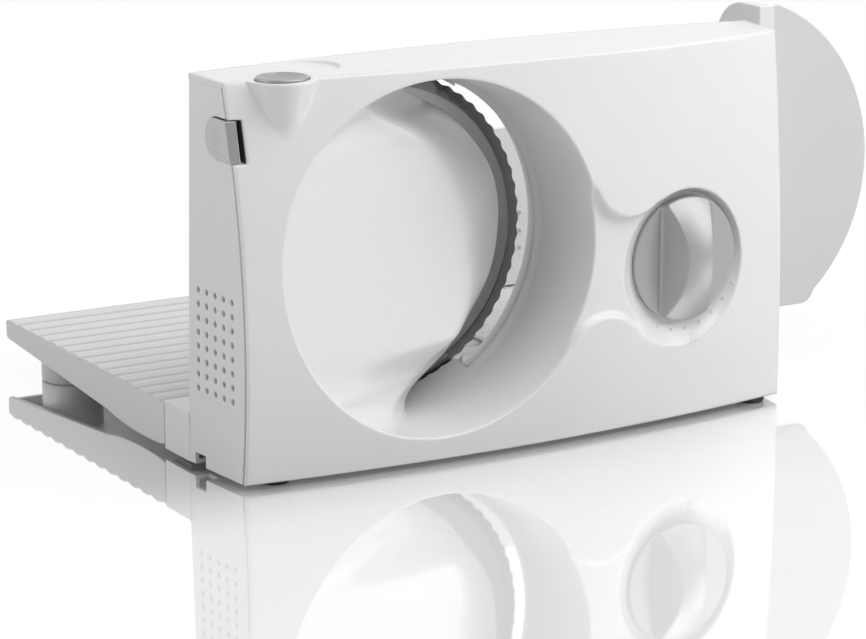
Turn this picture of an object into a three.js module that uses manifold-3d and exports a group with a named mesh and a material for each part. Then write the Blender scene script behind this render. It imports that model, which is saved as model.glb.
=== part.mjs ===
// Household food slicer with a round blade, a fold-down ribbed table and a sliding food carriage.
// Millimetres, +Z up. X runs along the upright body from its ventilated end to its knob end, and +Y points
// from the slice outlet to the food side. The origin is on the floor under the middle of the whole slicer.
import * as THREE from 'three';
import { mergeVertices, toCreasedNormals } from 'three/addons/utils/BufferGeometryUtils.js';
import Module from 'manifold-3d';

const wasm = await Module();
wasm.setup();

// Upright body
const FOOT_HEIGHT = 3;
const BODY_LENGTH = 329.5;
const BODY_REAR_LENGTH = 337;
const BODY_TOP = 201.5;
const TOP_CROWN = 2.5;
const REAR_Y = 54.5;
const LEFT_FLARE = 4;
const WALL = 2.6;
const GAP = 0.3;
const SETBACK_RIGHT_LOW = 6;
const SETBACK_LEFT_TOP = 17.6;
const SETBACK_RIGHT_TOP = 16.5;
const BOW_LOW = 12.4;
const BOW_TOP = 30.6;
const BOW_LEFT = 11.4;
const BOW_RIGHT = 3.8;

// Blade and its drive
const BLADE_X = 106;
const BLADE_Z = 108;
const BLADE_RADIUS = 85;
const BLADE_HOLE = 8;
const SCALLOPS = 100;
const WHEEL_TEETH = 30;
const WHEEL_PITCH_RADIUS = 30;
const WORM_PITCH_RADIUS = 6.5;
const DRIVE_Y = 28;
const MOTOR_RADIUS = 19;

// Slice outlet: an oval rim in the front that narrows to a round throat beside the blade
const RIM_X = 108.7;
const RIM_Z = 106.2;
const RIM_HALF_WIDTH = 88;
const RIM_HALF_HEIGHT = 92.3;
const RIM_Y = -26;
const THROAT_RADIUS = 88.5;
const THROAT_Y = 38;
const COVER_X = 105.4;
const COVER_Z = 113.9;
const COVER_EDGE_RADIUS = 67.1;
const COVER_STRAIGHT = THREE.MathUtils.degToRad(38);
const COVER_EDGE_Y = 47;
const COVER_THICKNESS = 3;

// Slice thickness control
const STOP_INNER_RADIUS = 92.7;
const STOP_LOW = THREE.MathUtils.degToRad(-57);
const STOP_HIGH = THREE.MathUtils.degToRad(61);
const STOP_RIGHT = 314;
const STOP_FACE_Y = 53;
const STOP_TRAVEL = 15;
const STOP_GUIDES = [[300, 150], [300, 45]];
const KNOB_X = 258.4;
const KNOB_Z = 89.45;
const KNOB_EDGE_Y = -4.75;
const KNOB_TILT = 3.2;
const KNOB_RADIUS = 33.3;
const KNOB_RISE = 14.7;
const KNOB_EDGE_RISE = 2;
const KNOB_FRONT_Y = -19.5;
const KNOB_TURN = THREE.MathUtils.degToRad(300);
const BOWL_X = 255.1;
const BOWL_Z = 85.5;
const BOWL_LIP_RADIUS = 42.1;
const BOWL_FLOOR_RADIUS = 34.6;
const BOWL_FLOOR_SLOPE = 0.105;
const NECK_DEPTH = 3.4;
const FOLLOWER_RADIUS = 12;

// Buttons on the ventilated end
const POWER_X = 29;
const POWER_Y = 11;
const POWER_RADIUS = 13.2;
const POWER_TOP = 204.6;
const SAFETY_Z = 173.5;
const SAFETY_HALF = 10;
const SAFETY_REAR_Y = 25;
const SAFETY_POCKET = 6.4;

// Table and carriage
const LEFT_END = -4;
const TABLE_NEAR_Y = 82.1;
const TABLE_FAR_Y = 284;
const TABLE_TOP = 28.5;
const TABLE_RIBS = 14;
const HINGE_Y = 82;
const HINGE_Z = 22;
const TRAY_LEFT = 197;
const TRAY_TOP = 33;
const WALL_X = 351;
const WALL_TOP = 207;
const CARRIAGE_Y = 60;
const CARRIAGE_FAR_Y = 206;
const GUARD_X = 330.4;
const GUARD_Z = 116;
const GUARD_RADIUS = 97;
const HOLDER_Y = 189;

// The body rests centred over the origin.
const CENTRE_X = (LEFT_END + GUARD_X + GUARD_RADIUS) / 2;
const CENTRE_Y = (KNOB_FRONT_Y + TABLE_FAR_Y) / 2;

// Closed solid from a geometry: corners joined, flat triangles dropped.
function solid(geometry) {
  const bare = geometry.clone();
  bare.deleteAttribute('normal');
  bare.deleteAttribute('uv');
  const joined = mergeVertices(bare, 1e-4);
  const kept = [];
  const index = joined.index.array;
  for (let i = 0; i < index.length; i += 3) {
    const [a, b, c] = [index[i], index[i + 1], index[i + 2]];
    if (a !== b && b !== c && c !== a) kept.push(a, b, c);
  }
  return new wasm.Manifold(new wasm.Mesh({
    numProp: 3,
    vertProperties: new Float32Array(joined.attributes.position.array),
    triVerts: new Uint32Array(kept),
  }));
}

function geometryOf(body) {
  const mesh = body.getMesh();
  const geometry = new THREE.BufferGeometry();
  const corners = new Float32Array((mesh.vertProperties.length / mesh.numProp) * 3);
  for (let i = 0; i < corners.length / 3; i++) {
    for (let k = 0; k < 3; k++) corners[3 * i + k] = mesh.vertProperties[mesh.numProp * i + k];
  }
  geometry.setAttribute('position', new THREE.BufferAttribute(corners, 3));
  geometry.setIndex(Array.from(mesh.triVerts));
  return toCreasedNormals(geometry, 0.3);
}

// Skin over a row of like outlines. A looped row joins its last outline to its first; an open row gets caps.
function skin(outlines, loop = false) {
  const n = outlines[0].length;
  const points = outlines.flat();
  const index = [];
  const rows = loop ? outlines.length : outlines.length - 1;
  for (let i = 0; i < rows; i++) {
    const a = i * n;
    const b = ((i + 1) % outlines.length) * n;
    for (let j = 0; j < n; j++) {
      const k = (j + 1) % n;
      index.push(a + j, b + j, b + k, a + j, b + k, a + k);
    }
  }
  if (!loop) {
    const last = (outlines.length - 1) * n;
    for (let j = 0; j < n - 1 - j; j++) {
      const k = n - 1 - j;
      if (k - j < 2) continue;
      index.push(j, j + 1, k);
      index.push(last + j, last + k, last + j + 1);
      if (k - j < 3) continue;
      index.push(j + 1, k - 1, k);
      index.push(last + j + 1, last + k, last + k - 1);
    }
  }
  const geometry = new THREE.BufferGeometry();
  geometry.setAttribute('position', new THREE.Float32BufferAttribute(points.flat(), 3));
  geometry.setIndex(index);
  const body = solid(geometry);
  if (body.volume() > 0) return body;
  for (let i = 0; i < index.length; i += 3) [index[i], index[i + 1]] = [index[i + 1], index[i]];
  geometry.setIndex(index);
  return solid(geometry);
}

function box(x0, x1, y0, y1, z0, z1) {
  const geometry = new THREE.BoxGeometry(x1 - x0, y1 - y0, z1 - z0);
  return solid(geometry.translate((x0 + x1) / 2, (y0 + y1) / 2, (z0 + z1) / 2));
}

function rodX(radius, x0, x1, y, z, sides = 24) {
  const geometry = new THREE.CylinderGeometry(radius, radius, x1 - x0, sides).rotateZ(Math.PI / 2);
  return solid(geometry.translate((x0 + x1) / 2, y, z));
}

function rodY(radius, y0, y1, x, z, sides = 24) {
  const geometry = new THREE.CylinderGeometry(radius, radius, y1 - y0, sides);
  return solid(geometry.translate(x, (y0 + y1) / 2, z));
}

function rodZ(radius, z0, z1, x, y, sides = 24) {
  const geometry = new THREE.CylinderGeometry(radius, radius, z1 - z0, sides).rotateX(Math.PI / 2);
  return solid(geometry.translate(x, y, (z0 + z1) / 2));
}

// Turned piece about a line along Y through (x, z); the outline holds [radius, y] corners.
function turnedY(outline, x, z, sides = 32) {
  const corners = outline.map(([r, y]) => new THREE.Vector2(r, y));
  const body = solid(new THREE.LatheGeometry([...corners, corners[0]], sides).translate(x, 0, z));
  return body.volume() > 0 ? body : turnedY([...outline].reverse(), x, z, sides);
}

// Turned piece about an upright line through (x, y); the outline holds [radius, z] corners.
function turnedZ(outline, x, y, sides = 32) {
  const corners = outline.map(([r, z]) => new THREE.Vector2(r, z));
  const geometry = new THREE.LatheGeometry([...corners, corners[0]], sides).rotateX(Math.PI / 2);
  const body = solid(geometry.translate(x, y, 0));
  return body.volume() > 0 ? body : turnedZ([...outline].reverse(), x, y, sides);
}

// Plate across Y from a shape drawn in X and Z.
function plateXZ(shape, y0, y1, curveSegments = 24) {
  const geometry = new THREE.ExtrudeGeometry(shape, { depth: y1 - y0, bevelEnabled: false, curveSegments });
  return solid(geometry.rotateX(Math.PI / 2).translate(0, y1, 0));
}

// Bar along X from a shape drawn in Y and Z.
function plateYZ(shape, x0, x1, curveSegments = 12) {
  const geometry = new THREE.ExtrudeGeometry(shape, { depth: x1 - x0, bevelEnabled: false, curveSegments });
  geometry.applyMatrix4(new THREE.Matrix4().makeBasis(
    new THREE.Vector3(0, 1, 0), new THREE.Vector3(0, 0, 1), new THREE.Vector3(1, 0, 0)));
  return solid(geometry.translate(x0, 0, 0));
}

function join(...bodies) {
  return bodies.reduce((whole, next) => whole.add(next));
}

// Least distance between corners of wire outlines that lie most of a turn apart.
function leastGap(outlines) {
  let least = Infinity;
  for (let i = 0; i < outlines.length; i++) {
    for (let j = i + 6; j < outlines.length; j++) {
      for (const p of outlines[i]) {
        for (const q of outlines[j]) least = Math.min(least, Math.hypot(p[0] - q[0], p[1] - q[1], p[2] - q[2]));
      }
    }
  }
  return least;
}

// One unbroken round wire wound about the line through `start` along `axis`, with flat closed end turns.
function coil(start, axis, radius, wire, length, turns) {
  const along = axis.clone().normalize();
  const side = new THREE.Vector3(along.z, along.x, along.y);
  const up = along.clone().cross(side);
  const outlines = [];
  const steps = turns * 8;
  const rise = (t) => wire + (length - 2 * wire) * t;
  for (let i = 0; i <= steps; i++) {
    const turn = (i / 8) * 2 * Math.PI;
    const outward = side.clone().multiplyScalar(Math.cos(turn)).addScaledVector(up, Math.sin(turn));
    const centre = start.clone().addScaledVector(along, rise(i / steps)).addScaledVector(outward, radius);
    const ring = [];
    for (let k = 0; k < 5; k++) {
      const a = (k / 5) * 2 * Math.PI;
      const p = centre.clone().addScaledVector(outward, wire * Math.cos(a));
      ring.push(p.addScaledVector(along, wire * Math.sin(a)).toArray());
    }
    outlines.push(ring);
  }
  return { body: skin(outlines), clear: leastGap(outlines) };
}

const slicer = new THREE.Group();
slicer.name = 'food_slicer';
slicer.position.set(-CENTRE_X, -CENTRE_Y, 0);

function section(name) {
  const group = new THREE.Group();
  group.name = name;
  slicer.add(group);
  return group;
}

function piece(group, name, body, color, roughness, metalness = 0) {
  const material = new THREE.MeshStandardMaterial({ color, roughness, metalness });
  const mesh = new THREE.Mesh(geometryOf(body), material);
  mesh.name = name;
  group.add(mesh);
}

const WHITE = 0xf0f0ef;
const PALE = 0xe2e3e3;
const SILVER = 0xb9babc;
const STEEL = 0xb8babd;
const DARK = 0x2c2d2f;

// Front of the body: a face that leans back at the top and bows towards the user both ways.
function frontY(x, z) {
  const u = x / BODY_LENGTH;
  const w = (z - FOOT_HEIGHT) / (BODY_TOP - FOOT_HEIGHT);
  const setback = (1 - w) * SETBACK_RIGHT_LOW * u + w * (SETBACK_LEFT_TOP * (1 - u) + SETBACK_RIGHT_TOP * u);
  const bowAlong = 4 * u * (1 - u) * (BOW_LOW * (1 - w) + BOW_TOP * w);
  const bowUp = 4 * w * (1 - w) * (BOW_LEFT * (1 - u) + BOW_RIGHT * u);
  return setback - bowAlong - bowUp;
}

function topZ(x) {
  const u = x / BODY_LENGTH;
  return BODY_TOP + 4 * TOP_CROWN * u * (1 - u);
}

// The body as a solid block, each face moved inwards by its own amount (outwards when negative).
function bodyBlock({ front = 0, top = 0, left = 0, right = 0, rear = 0, low = 0 }) {
  const stations = 12;
  const rows = 8;
  const outlines = [];
  for (let i = 0; i <= stations; i++) {
    const s = i / stations;
    const x = left + (BODY_LENGTH - right - left) * s;
    const near = [];
    const far = [];
    for (let j = 0; j <= rows; j++) {
      const w = j / rows;
      const z = FOOT_HEIGHT + low + (topZ(x) - top - FOOT_HEIGHT - low) * w;
      const rearLeft = left - LEFT_FLARE * (1 - w);
      const rearX = rearLeft + (BODY_REAR_LENGTH - right - rearLeft) * s;
      const y = frontY(x, z);
      const slant = (rearX - x) / (REAR_Y - y);
      near.push([x + slant * front, y + front, z]);
      far.unshift([rearX - slant * rear, REAR_Y - rear, z]);
    }
    outlines.push([...near, ...far]);
  }
  return skin(outlines);
}

const OPEN = -12;
const wholeBody = bodyBlock({});
const behindFront = bodyBlock({ front: WALL, top: WALL, left: OPEN, right: OPEN, rear: OPEN, low: OPEN });

// Slice outlet: the oval rim narrows to the throat; `grow` widens it all round.
function outletRing(y, grow, points = 52) {
  const s = (y - RIM_Y) / (THROAT_Y - RIM_Y);
  const ring = [];
  for (let i = 0; i < points; i++) {
    const a = (i / points) * 2 * Math.PI;
    ring.push(outletPoint(a, s, y, grow));
  }
  return ring;
}

function outletPoint(a, s, y, grow) {
  const rimX = RIM_X + (RIM_HALF_WIDTH + grow) * Math.cos(a);
  const rimZ = RIM_Z + (RIM_HALF_HEIGHT + grow) * Math.sin(a);
  const throatX = BLADE_X + (THROAT_RADIUS + grow) * Math.cos(a);
  const throatZ = BLADE_Z + (THROAT_RADIUS + grow) * Math.sin(a);
  return [rimX + (throatX - rimX) * s, y, rimZ + (throatZ - rimZ) * s];
}

function outletPlug(grow, rear = 60) {
  return skin([outletRing(RIM_Y - 6, grow), outletRing(rear, grow)]);
}

// Throat wall of the outlet, left open on the ventilated side where the blade cover closes it.
function throatWall() {
  const degrees = THREE.MathUtils.degToRad;
  const outlines = [];
  const from = degrees(-118);
  const to = degrees(116);
  for (let i = 0; i <= 36; i++) {
    const a = from + ((to - from) * i) / 36;
    const s = (RIM_Y - 4 - RIM_Y) / (THROAT_Y - RIM_Y);
    outlines.push([
      outletPoint(a, s, RIM_Y - 4, 0),
      outletPoint(a, 1, THROAT_Y, 0),
      outletPoint(a, 1, THROAT_Y, 2.2),
      outletPoint(a, s, RIM_Y - 4, 2.2),
    ]);
  }
  return skin(outlines).intersect(wholeBody).add(ledge(0));
}

// Ledge that carries the throat's floor back to the blade.
function ledge(clear) {
  const degrees = THREE.MathUtils.degToRad;
  const outlines = [];
  for (let i = 0; i <= 9; i++) {
    const a = degrees(-118) + (degrees(60) * i) / 9;
    outlines.push([
      outletPoint(a, 1, THROAT_Y - 2, -clear),
      outletPoint(a, 1, 50.6, -4 - clear),
      outletPoint(a, 1, 50.6, -1.4 + clear),
      outletPoint(a, 1, THROAT_Y - 2, 2.2 + clear),
    ]);
  }
  return skin(outlines);
}

// Knob bowl: a round lip on the front face, narrowing to a round floor that slopes back towards the knob end.
function bowl(grow) {
  const mouth = [];
  const foot = [];
  for (let i = 0; i < 40; i++) {
    const a = (i / 40) * 2 * Math.PI;
    const lipX = BOWL_X + (BOWL_LIP_RADIUS + grow) * Math.cos(a);
    const lipZ = BOWL_Z + (BOWL_LIP_RADIUS + grow) * Math.sin(a);
    const lip = new THREE.Vector3(lipX, frontY(lipX, lipZ), lipZ);
    const reach = (BOWL_FLOOR_RADIUS + grow) * Math.cos(a);
    const floorY = KNOB_EDGE_Y + 3.85 + BOWL_FLOOR_SLOPE * reach + grow;
    const floorZ = KNOB_Z + (BOWL_FLOOR_RADIUS + grow) * Math.sin(a);
    const floor = new THREE.Vector3(KNOB_X + reach, floorY, floorZ);
    foot.push(floor.toArray());
    mouth.push(lip.addScaledVector(lip.clone().sub(floor), 0.4).toArray());
  }
  return skin([mouth, foot]);
}

// The knob and its spindle are turned a little towards the knob end about an upright line.
function tilted(body) {
  return body.translate([-KNOB_X, -KNOB_EDGE_Y, 0]).rotate([0, 0, KNOB_TILT]).translate([KNOB_X, KNOB_EDGE_Y, 0]);
}

// Sunk neck between the outlet and the knob bowl, waisted by two round shoulders.
function neck(grow, depth) {
  const strip = box(186, 236, -40, 20, 56, 134);
  const upper = rodY(25 - grow, -50, 30, 219, 143, 30);
  const lower = rodY(25 - grow, -50, 30, 204, 41, 30);
  const under = bodyBlock({ front: depth, top: OPEN, left: OPEN, right: OPEN, rear: OPEN, low: OPEN });
  return strip.subtract(upper).subtract(lower).subtract(under);
}

// Rounded-end outline of the safety button, drawn in Y and Z.
function safetyOutline(grow) {
  const half = SAFETY_HALF + grow;
  const shape = new THREE.Shape();
  shape.moveTo(-16, SAFETY_Z - half);
  shape.lineTo(SAFETY_REAR_Y, SAFETY_Z - half);
  shape.absarc(SAFETY_REAR_Y, SAFETY_Z, half, -Math.PI / 2, Math.PI / 2, false);
  shape.lineTo(-16, SAFETY_Z + half);
  return shape;
}

const SCREWS = [[10, 120], [10, 40], [319.5, 190], [319.5, 40]];
const housing = section('housing');

// Front cover: one white moulding with the bowed face, the top, the outlet rim and throat, the knob bowl,
// the boss under the power button, two guide sleeves and four screw posts.
function frontCover() {
  let cover = wholeBody.subtract(behindFront);
  const inside = bodyBlock({ front: 1, top: 1 });
  const boss = [];
  for (let i = 0; i <= 6; i++) {
    const s = i / 6;
    boss.push([0.6 + 16.4 * Math.sqrt(s), 171 + 31.2 * s]);
  }
  cover = cover.add(turnedZ([[0, 171], ...boss, [0, 202.2]], POWER_X, POWER_Y, 28));
  cover = cover.add(neck(2.4, NECK_DEPTH + 2.4).intersect(inside));
  cover = cover.add(bowl(2.4).intersect(inside));
  for (const [x, z] of STOP_GUIDES) cover = cover.add(rodY(7, -20, 34, x, z, 14).intersect(inside));
  for (const [x, z] of SCREWS) cover = cover.add(rodY(3.8, -20, 51.3, x, z, 10).intersect(inside));
  cover = cover.subtract(outletPlug(0, THROAT_Y + 0.5)).add(throatWall());
  cover = cover.subtract(neck(0, NECK_DEPTH));
  cover = cover.subtract(bowl(0));
  cover = cover.subtract(tilted(rodY(5.8, -20, 12, KNOB_X, KNOB_Z, 20)));
  for (const [x, z] of STOP_GUIDES) cover = cover.subtract(rodY(4.7, 6, 40, x, z, 14));
  for (const [x, z] of SCREWS) cover = cover.subtract(rodY(2.2, 38, 60, x, z, 8));
  cover = cover.subtract(rodZ(POWER_RADIUS + 0.4, 194.8, 215, POWER_X, POWER_Y, 28));
  cover = cover.subtract(rodZ(3.8, 160, 215, POWER_X, POWER_Y, 12));
  const fingerRest = new THREE.CylinderGeometry(17, 17, 6, 28).rotateX(Math.PI / 2).rotateY(0.03);
  cover = cover.subtract(solid(fingerRest.translate(54, 33, 205.4)));
  return cover.subtract(plateYZ(safetyOutline(0.45), -8, SAFETY_POCKET));
}
piece(housing, 'front_cover', frontCover(), WHITE, 0.3);

// Blade cover: a smooth white shield, flush with the front on the ventilated side, sinking towards the knob
// side and rolling back to a round edge in front of the blade.
function coverLeftX(z) {
  const q = THREE.MathUtils.clamp((z - RIM_Z) / RIM_HALF_HEIGHT, -0.72, 0.62);
  return RIM_X - RIM_HALF_WIDTH * Math.sqrt(1 - q * q);
}

function coverRightX(z) {
  const rise = z - COVER_Z;
  const low = -COVER_EDGE_RADIUS * Math.sin(COVER_STRAIGHT);
  const lowX = COVER_X + COVER_EDGE_RADIUS * Math.cos(COVER_STRAIGHT);
  if (rise < low) return lowX + Math.tan(COVER_STRAIGHT) * (rise - low);
  if (rise > 62) return COVER_X + Math.sqrt(COVER_EDGE_RADIUS ** 2 - 62 ** 2) - 2 * (rise - 62);
  return COVER_X + Math.sqrt(COVER_EDGE_RADIUS ** 2 - rise ** 2);
}

// The shield sinks evenly from its rim, more steeply low down, and then rolls over to its edge at the blade.
function coverPoint(t, z) {
  const left = coverLeftX(z);
  const width = coverRightX(z) - left;
  const rimY = frontY(left, THREE.MathUtils.clamp(z, 20, 190)) + 0.4;
  const edgeY = COVER_EDGE_Y - 1.2 * Math.max(z - COVER_Z - 62, 0);
  const slope = 0.5 - 0.34 * THREE.MathUtils.smoothstep(z, 35, 62);
  const roll = 25 + 9 * THREE.MathUtils.smoothstep(z, 95, 145);
  const steep = (2 * (edgeY - rimY - slope * (width - roll))) / roll - slope;
  const reach = width * (1 - t);
  const inRoll = Math.min(reach, roll);
  const drop = steep * inRoll - ((steep - slope) * inRoll ** 2) / (2 * roll);
  return [left + width * t, edgeY - drop - slope * (reach - inRoll), z];
}

function bladeCover() {
  const outlines = [];
  for (let i = 0; i <= 26; i++) {
    const z = 8 + (198 * i) / 26;
    const face = [];
    const back = [];
    for (let j = 0; j <= 11; j++) {
      const s = j / 11;
      const t = -0.5 + 1.5 * (1 - (1 - s) ** 2);
      const [x, y] = coverPoint(t, z);
      face.push([x, y, z]);
      back.unshift([x, y + COVER_THICKNESS, z]);
    }
    outlines.push([...face, ...back]);
  }
  return skin(outlines).intersect(outletPlug(-2 * GAP)).subtract(ledge(GAP));
}
piece(housing, 'blade_cover', bladeCover(), WHITE, 0.28);

// Rear housing: both ends, the rear wall with the round blade opening and the stop plate window, the bottom
// and the hollow hinge block for the table. The ventilated end has the air holes and the cord notch.
function stopOutline(grow) {
  const shape = new THREE.Shape();
  const low = BLADE_Z + STOP_INNER_RADIUS * Math.sin(STOP_LOW) - grow;
  const high = BLADE_Z + STOP_INNER_RADIUS * Math.sin(STOP_HIGH) + grow;
  shape.absarc(BLADE_X, BLADE_Z, STOP_INNER_RADIUS - grow, STOP_LOW, STOP_HIGH, false);
  shape.lineTo(BLADE_X + STOP_INNER_RADIUS * Math.cos(STOP_HIGH), high);
  shape.lineTo(STOP_RIGHT + grow, high);
  shape.lineTo(STOP_RIGHT + grow, low);
  shape.lineTo(BLADE_X + STOP_INNER_RADIUS * Math.cos(STOP_LOW), low);
  return shape;
}

const HINGES = [[8, 1], [324, -1]];

function rearHousing() {
  const fit = { front: WALL + 2 * GAP, top: WALL + GAP };
  const cavity = bodyBlock({ front: -40, top: -20, left: WALL, right: WALL, rear: WALL, low: WALL });
  let shell = bodyBlock(fit).subtract(cavity);
  const pocketWall = plateYZ(safetyOutline(2.4), 0.5, 12.2).intersect(bodyBlock({ ...fit, rear: 1 }));
  shell = shell.add(pocketWall).subtract(rodX(2.9, 5, 14, 22, SAFETY_Z, 12));
  shell = shell.subtract(rodX(6.2, SAFETY_POCKET - 1, 10.1, 22, SAFETY_Z, 20));
  const slot = new THREE.Shape();
  slot.moveTo(BLADE_X, BLADE_Z);
  slot.absarc(BLADE_X, BLADE_Z, STOP_INNER_RADIUS + 1, STOP_LOW, STOP_HIGH, false);
  const block = box(LEFT_END, BODY_REAR_LENGTH, 53, 81.5, FOOT_HEIGHT, TABLE_TOP);
  const hollow = box(LEFT_END + WALL, BODY_REAR_LENGTH - WALL, REAR_Y, 78.8, 0, TABLE_TOP - WALL);
  shell = shell.add(block.subtract(hollow));
  for (const x of [12, 321]) shell = shell.add(box(x - 9, x + 9, 66, 80, FOOT_HEIGHT, 27));
  for (const [x, way] of HINGES) {
    shell = shell.add(rodX(5, Math.min(x, x + 8 * way), Math.max(x, x + 8 * way), HINGE_Y, HINGE_Z, 16));
    const [a, b] = [x + 8.4 * way, x + 18.4 * way];
    shell = shell.subtract(rodX(5.6, Math.min(a, b), Math.max(a, b), HINGE_Y, HINGE_Z, 16));
    shell = shell.subtract(rodX(2.4, Math.min(x - 1 * way, b), Math.max(x - 1 * way, b), HINGE_Y, HINGE_Z, 12));
  }
  shell = shell.subtract(rodY(BLADE_RADIUS + 1.6, 45, 60, BLADE_X, BLADE_Z, 60));
  shell = shell.subtract(plateXZ(slot, 45, 60)).subtract(plateXZ(stopOutline(0.6), 45, 60, 30));
  shell = shell.subtract(plateYZ(safetyOutline(0.45), -8, SAFETY_POCKET));
  shell = shell.subtract(box(-10, 4, 37.8, 47.8, 0, 9.2));
  for (const [x, z] of SCREWS) shell = shell.subtract(rodY(2.2, 45, 60, x, z, 8));
  for (const [x, y] of [[21, 9], [315, 12], [12, 73], [321, 73]]) {
    shell = shell.subtract(rodZ(2.5, 0, 9, x, y, 10));
  }
  for (let column = 0; column < 5; column++) {
    for (let row = 0; row < 8; row++) {
      shell = shell.subtract(rodX(1.6, -8, 4, 10.8 + 8.5 * column, 43.5 + 7.2 * row, 6));
    }
  }
  return shell;
}
piece(housing, 'rear_housing', rearHousing(), WHITE, 0.34);

// Cord gland: rubber bush standing behind the cord notch.
const gland = rodX(3.6, 6, 12, 42.8, 9.4, 16).subtract(rodX(2.4, 4, 14, 42.8, 9.4, 16));
piece(housing, 'cord_gland', gland, DARK, 0.75);

// Rubber feet: a round pad with a stud pressed into the bottom.
function rubberFoot(x, y) {
  return turnedZ([[0, 0], [7, 0], [8, 0.8], [8, 2.6], [2.1, 2.6], [2.1, 8], [0, 8]], x, y, 14);
}
piece(housing, 'front_foot_left', rubberFoot(21, 9), DARK, 0.85);
piece(housing, 'front_foot_right', rubberFoot(315, 12), DARK, 0.85);
piece(housing, 'rear_foot_left', rubberFoot(12, 73), DARK, 0.85);
piece(housing, 'rear_foot_right', rubberFoot(321, 73), DARK, 0.85);

// Housing screws: pan heads on the rear wall.
const screwNames = ['upper_left', 'lower_left', 'upper_right', 'lower_right'];
SCREWS.forEach(([x, z], i) => {
  const outline = [[0, 41], [1.7, 41], [1.7, 54.8], [3.6, 54.8], [3.6, 55.8], [2.6, 56.8], [0, 56.8]];
  piece(housing, `housing_screw_${screwNames[i]}`, turnedY(outline, x, z, 10), STEEL, 0.35, 1);
});

// Drive: a motor lying along the body turns a worm, and the worm turns a toothed wheel on the blade axle.
const drive = section('drive');
const WORM_Z = BLADE_Z - WHEEL_PITCH_RADIUS - WORM_PITCH_RADIUS;
const TOOTH_PITCH = (2 * Math.PI * WHEEL_PITCH_RADIUS) / WHEEL_TEETH;

// Drive frame: moulded plate that carries the axle, with two posts to the rear wall.
function driveFrame() {
  const shape = new THREE.Shape();
  const corners = [[43, 174], [52, 188], [84, 150], [115, 138], [115, 62], [96, 46], [40, 22], [26, 26],
    [26, 36], [70, 50], [70, 94]];
  shape.setFromPoints(corners.map(([x, z]) => new THREE.Vector2(x, z)));
  let frame = plateXZ(shape, 15, 18);
  frame = frame.add(rodY(4, 16, 51.5, 49, 181, 12)).add(rodY(4, 16, 51.5, 33, 29, 12));
  frame = frame.add(rodY(9, 15, 22.5, BLADE_X, BLADE_Z));
  frame = frame.add(box(127, 131.5, 17, 36, WORM_Z - 8, WORM_Z + 8));
  frame = frame.add(box(113, 131.5, 16, 19.6, WORM_Z - 8, WORM_Z + 8));
  frame = frame.subtract(rodY(4.2, 10, 30, BLADE_X, BLADE_Z));
  return frame.subtract(rodX(3.3, 120, 150, DRIVE_Y, WORM_Z));
}
piece(drive, 'drive_frame', driveFrame(), 0x55585c, 0.6);

// Motor: a drawn steel can with a stepped end boss.
function motorCan() {
  const can = rodX(MOTOR_RADIUS, 10, 64, DRIVE_Y, WORM_Z, 28).add(rodX(9, 63, 68, DRIVE_Y, WORM_Z));
  return can.subtract(rodX(3.4, 60, 80, DRIVE_Y, WORM_Z));
}
piece(drive, 'motor', motorCan(), 0x6f7377, 0.45, 1);

// Worm shaft: a straight shaft with a single-start thread whose lead is one tooth pitch of the wheel.
function wormShaft() {
  const outlines = [];
  const steps = 12;
  const laps = 3.5;
  const root = WORM_PITCH_RADIUS - 2.2;
  const crest = WORM_PITCH_RADIUS + 1.3;
  for (let i = 0; i <= laps * steps; i++) {
    const turn = (i / steps) * 2 * Math.PI;
    const x = BLADE_X + (i / steps - laps / 2) * TOOTH_PITCH;
    const arm = (r, dx) => [x + dx, DRIVE_Y + r * Math.cos(turn), WORM_Z + r * Math.sin(turn)];
    outlines.push([arm(root - 0.4, -1.9), arm(crest, -0.8), arm(crest, 0.8), arm(root - 0.4, 1.9)]);
  }
  const core = rodX(root, BLADE_X - 15, BLADE_X + 15, DRIVE_Y, WORM_Z, 20);
  return skin(outlines).add(core).add(rodX(3, 61, 131.2, DRIVE_Y, WORM_Z, 16));
}
piece(drive, 'worm_shaft', wormShaft(), STEEL, 0.3, 1);

// Blade axle: fixed steel pin in the drive frame.
piece(drive, 'blade_axle', rodY(3.9, 15.4, 44, BLADE_X, BLADE_Z), STEEL, 0.3, 1);

// Worm wheel: slanted teeth to suit the thread, a hub with a seat and a spigot for the blade.
function wormWheel() {
  const outlines = [];
  const layers = 2;
  const lead = TOOTH_PITCH / (2 * Math.PI * WORM_PITCH_RADIUS);
  for (let k = 0; k <= layers; k++) {
    const y = DRIVE_Y - 4 + (8 * k) / layers;
    const lean = ((DRIVE_Y - y) * lead) / WHEEL_PITCH_RADIUS;
    const ring = [];
    for (let i = 0; i < WHEEL_TEETH; i++) {
      const corners = [[-0.27, -2], [-0.11, 1.6], [0.11, 1.6], [0.27, -2]];
      for (const [part, rise] of corners) {
        const a = ((i + part) / WHEEL_TEETH) * 2 * Math.PI + lean;
        const r = WHEEL_PITCH_RADIUS + rise;
        ring.push([BLADE_X + r * Math.sin(a), y, BLADE_Z - r * Math.cos(a)]);
      }
    }
    outlines.push(ring);
  }
  const bore = (ring) => ring.map(([x, y, z]) => {
    const a = Math.atan2(x - BLADE_X, BLADE_Z - z);
    return [BLADE_X + 12 * Math.sin(a), y, BLADE_Z - 12 * Math.cos(a)];
  });
  const teeth = skin([...outlines, bore(outlines[layers]), bore(outlines[0])], true);
  const hub = turnedY([[6.3, 24], [12.6, 24], [12.6, 46], [17, 46], [17, 50.6], [7.6, 50.6], [7.6, 52.2],
    [4.4, 52.2], [4.4, 46], [6.3, 46]], BLADE_X, BLADE_Z, 28);
  return teeth.add(hub);
}
piece(drive, 'worm_wheel', wormWheel(), 0xdcd9cf, 0.5);

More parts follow.
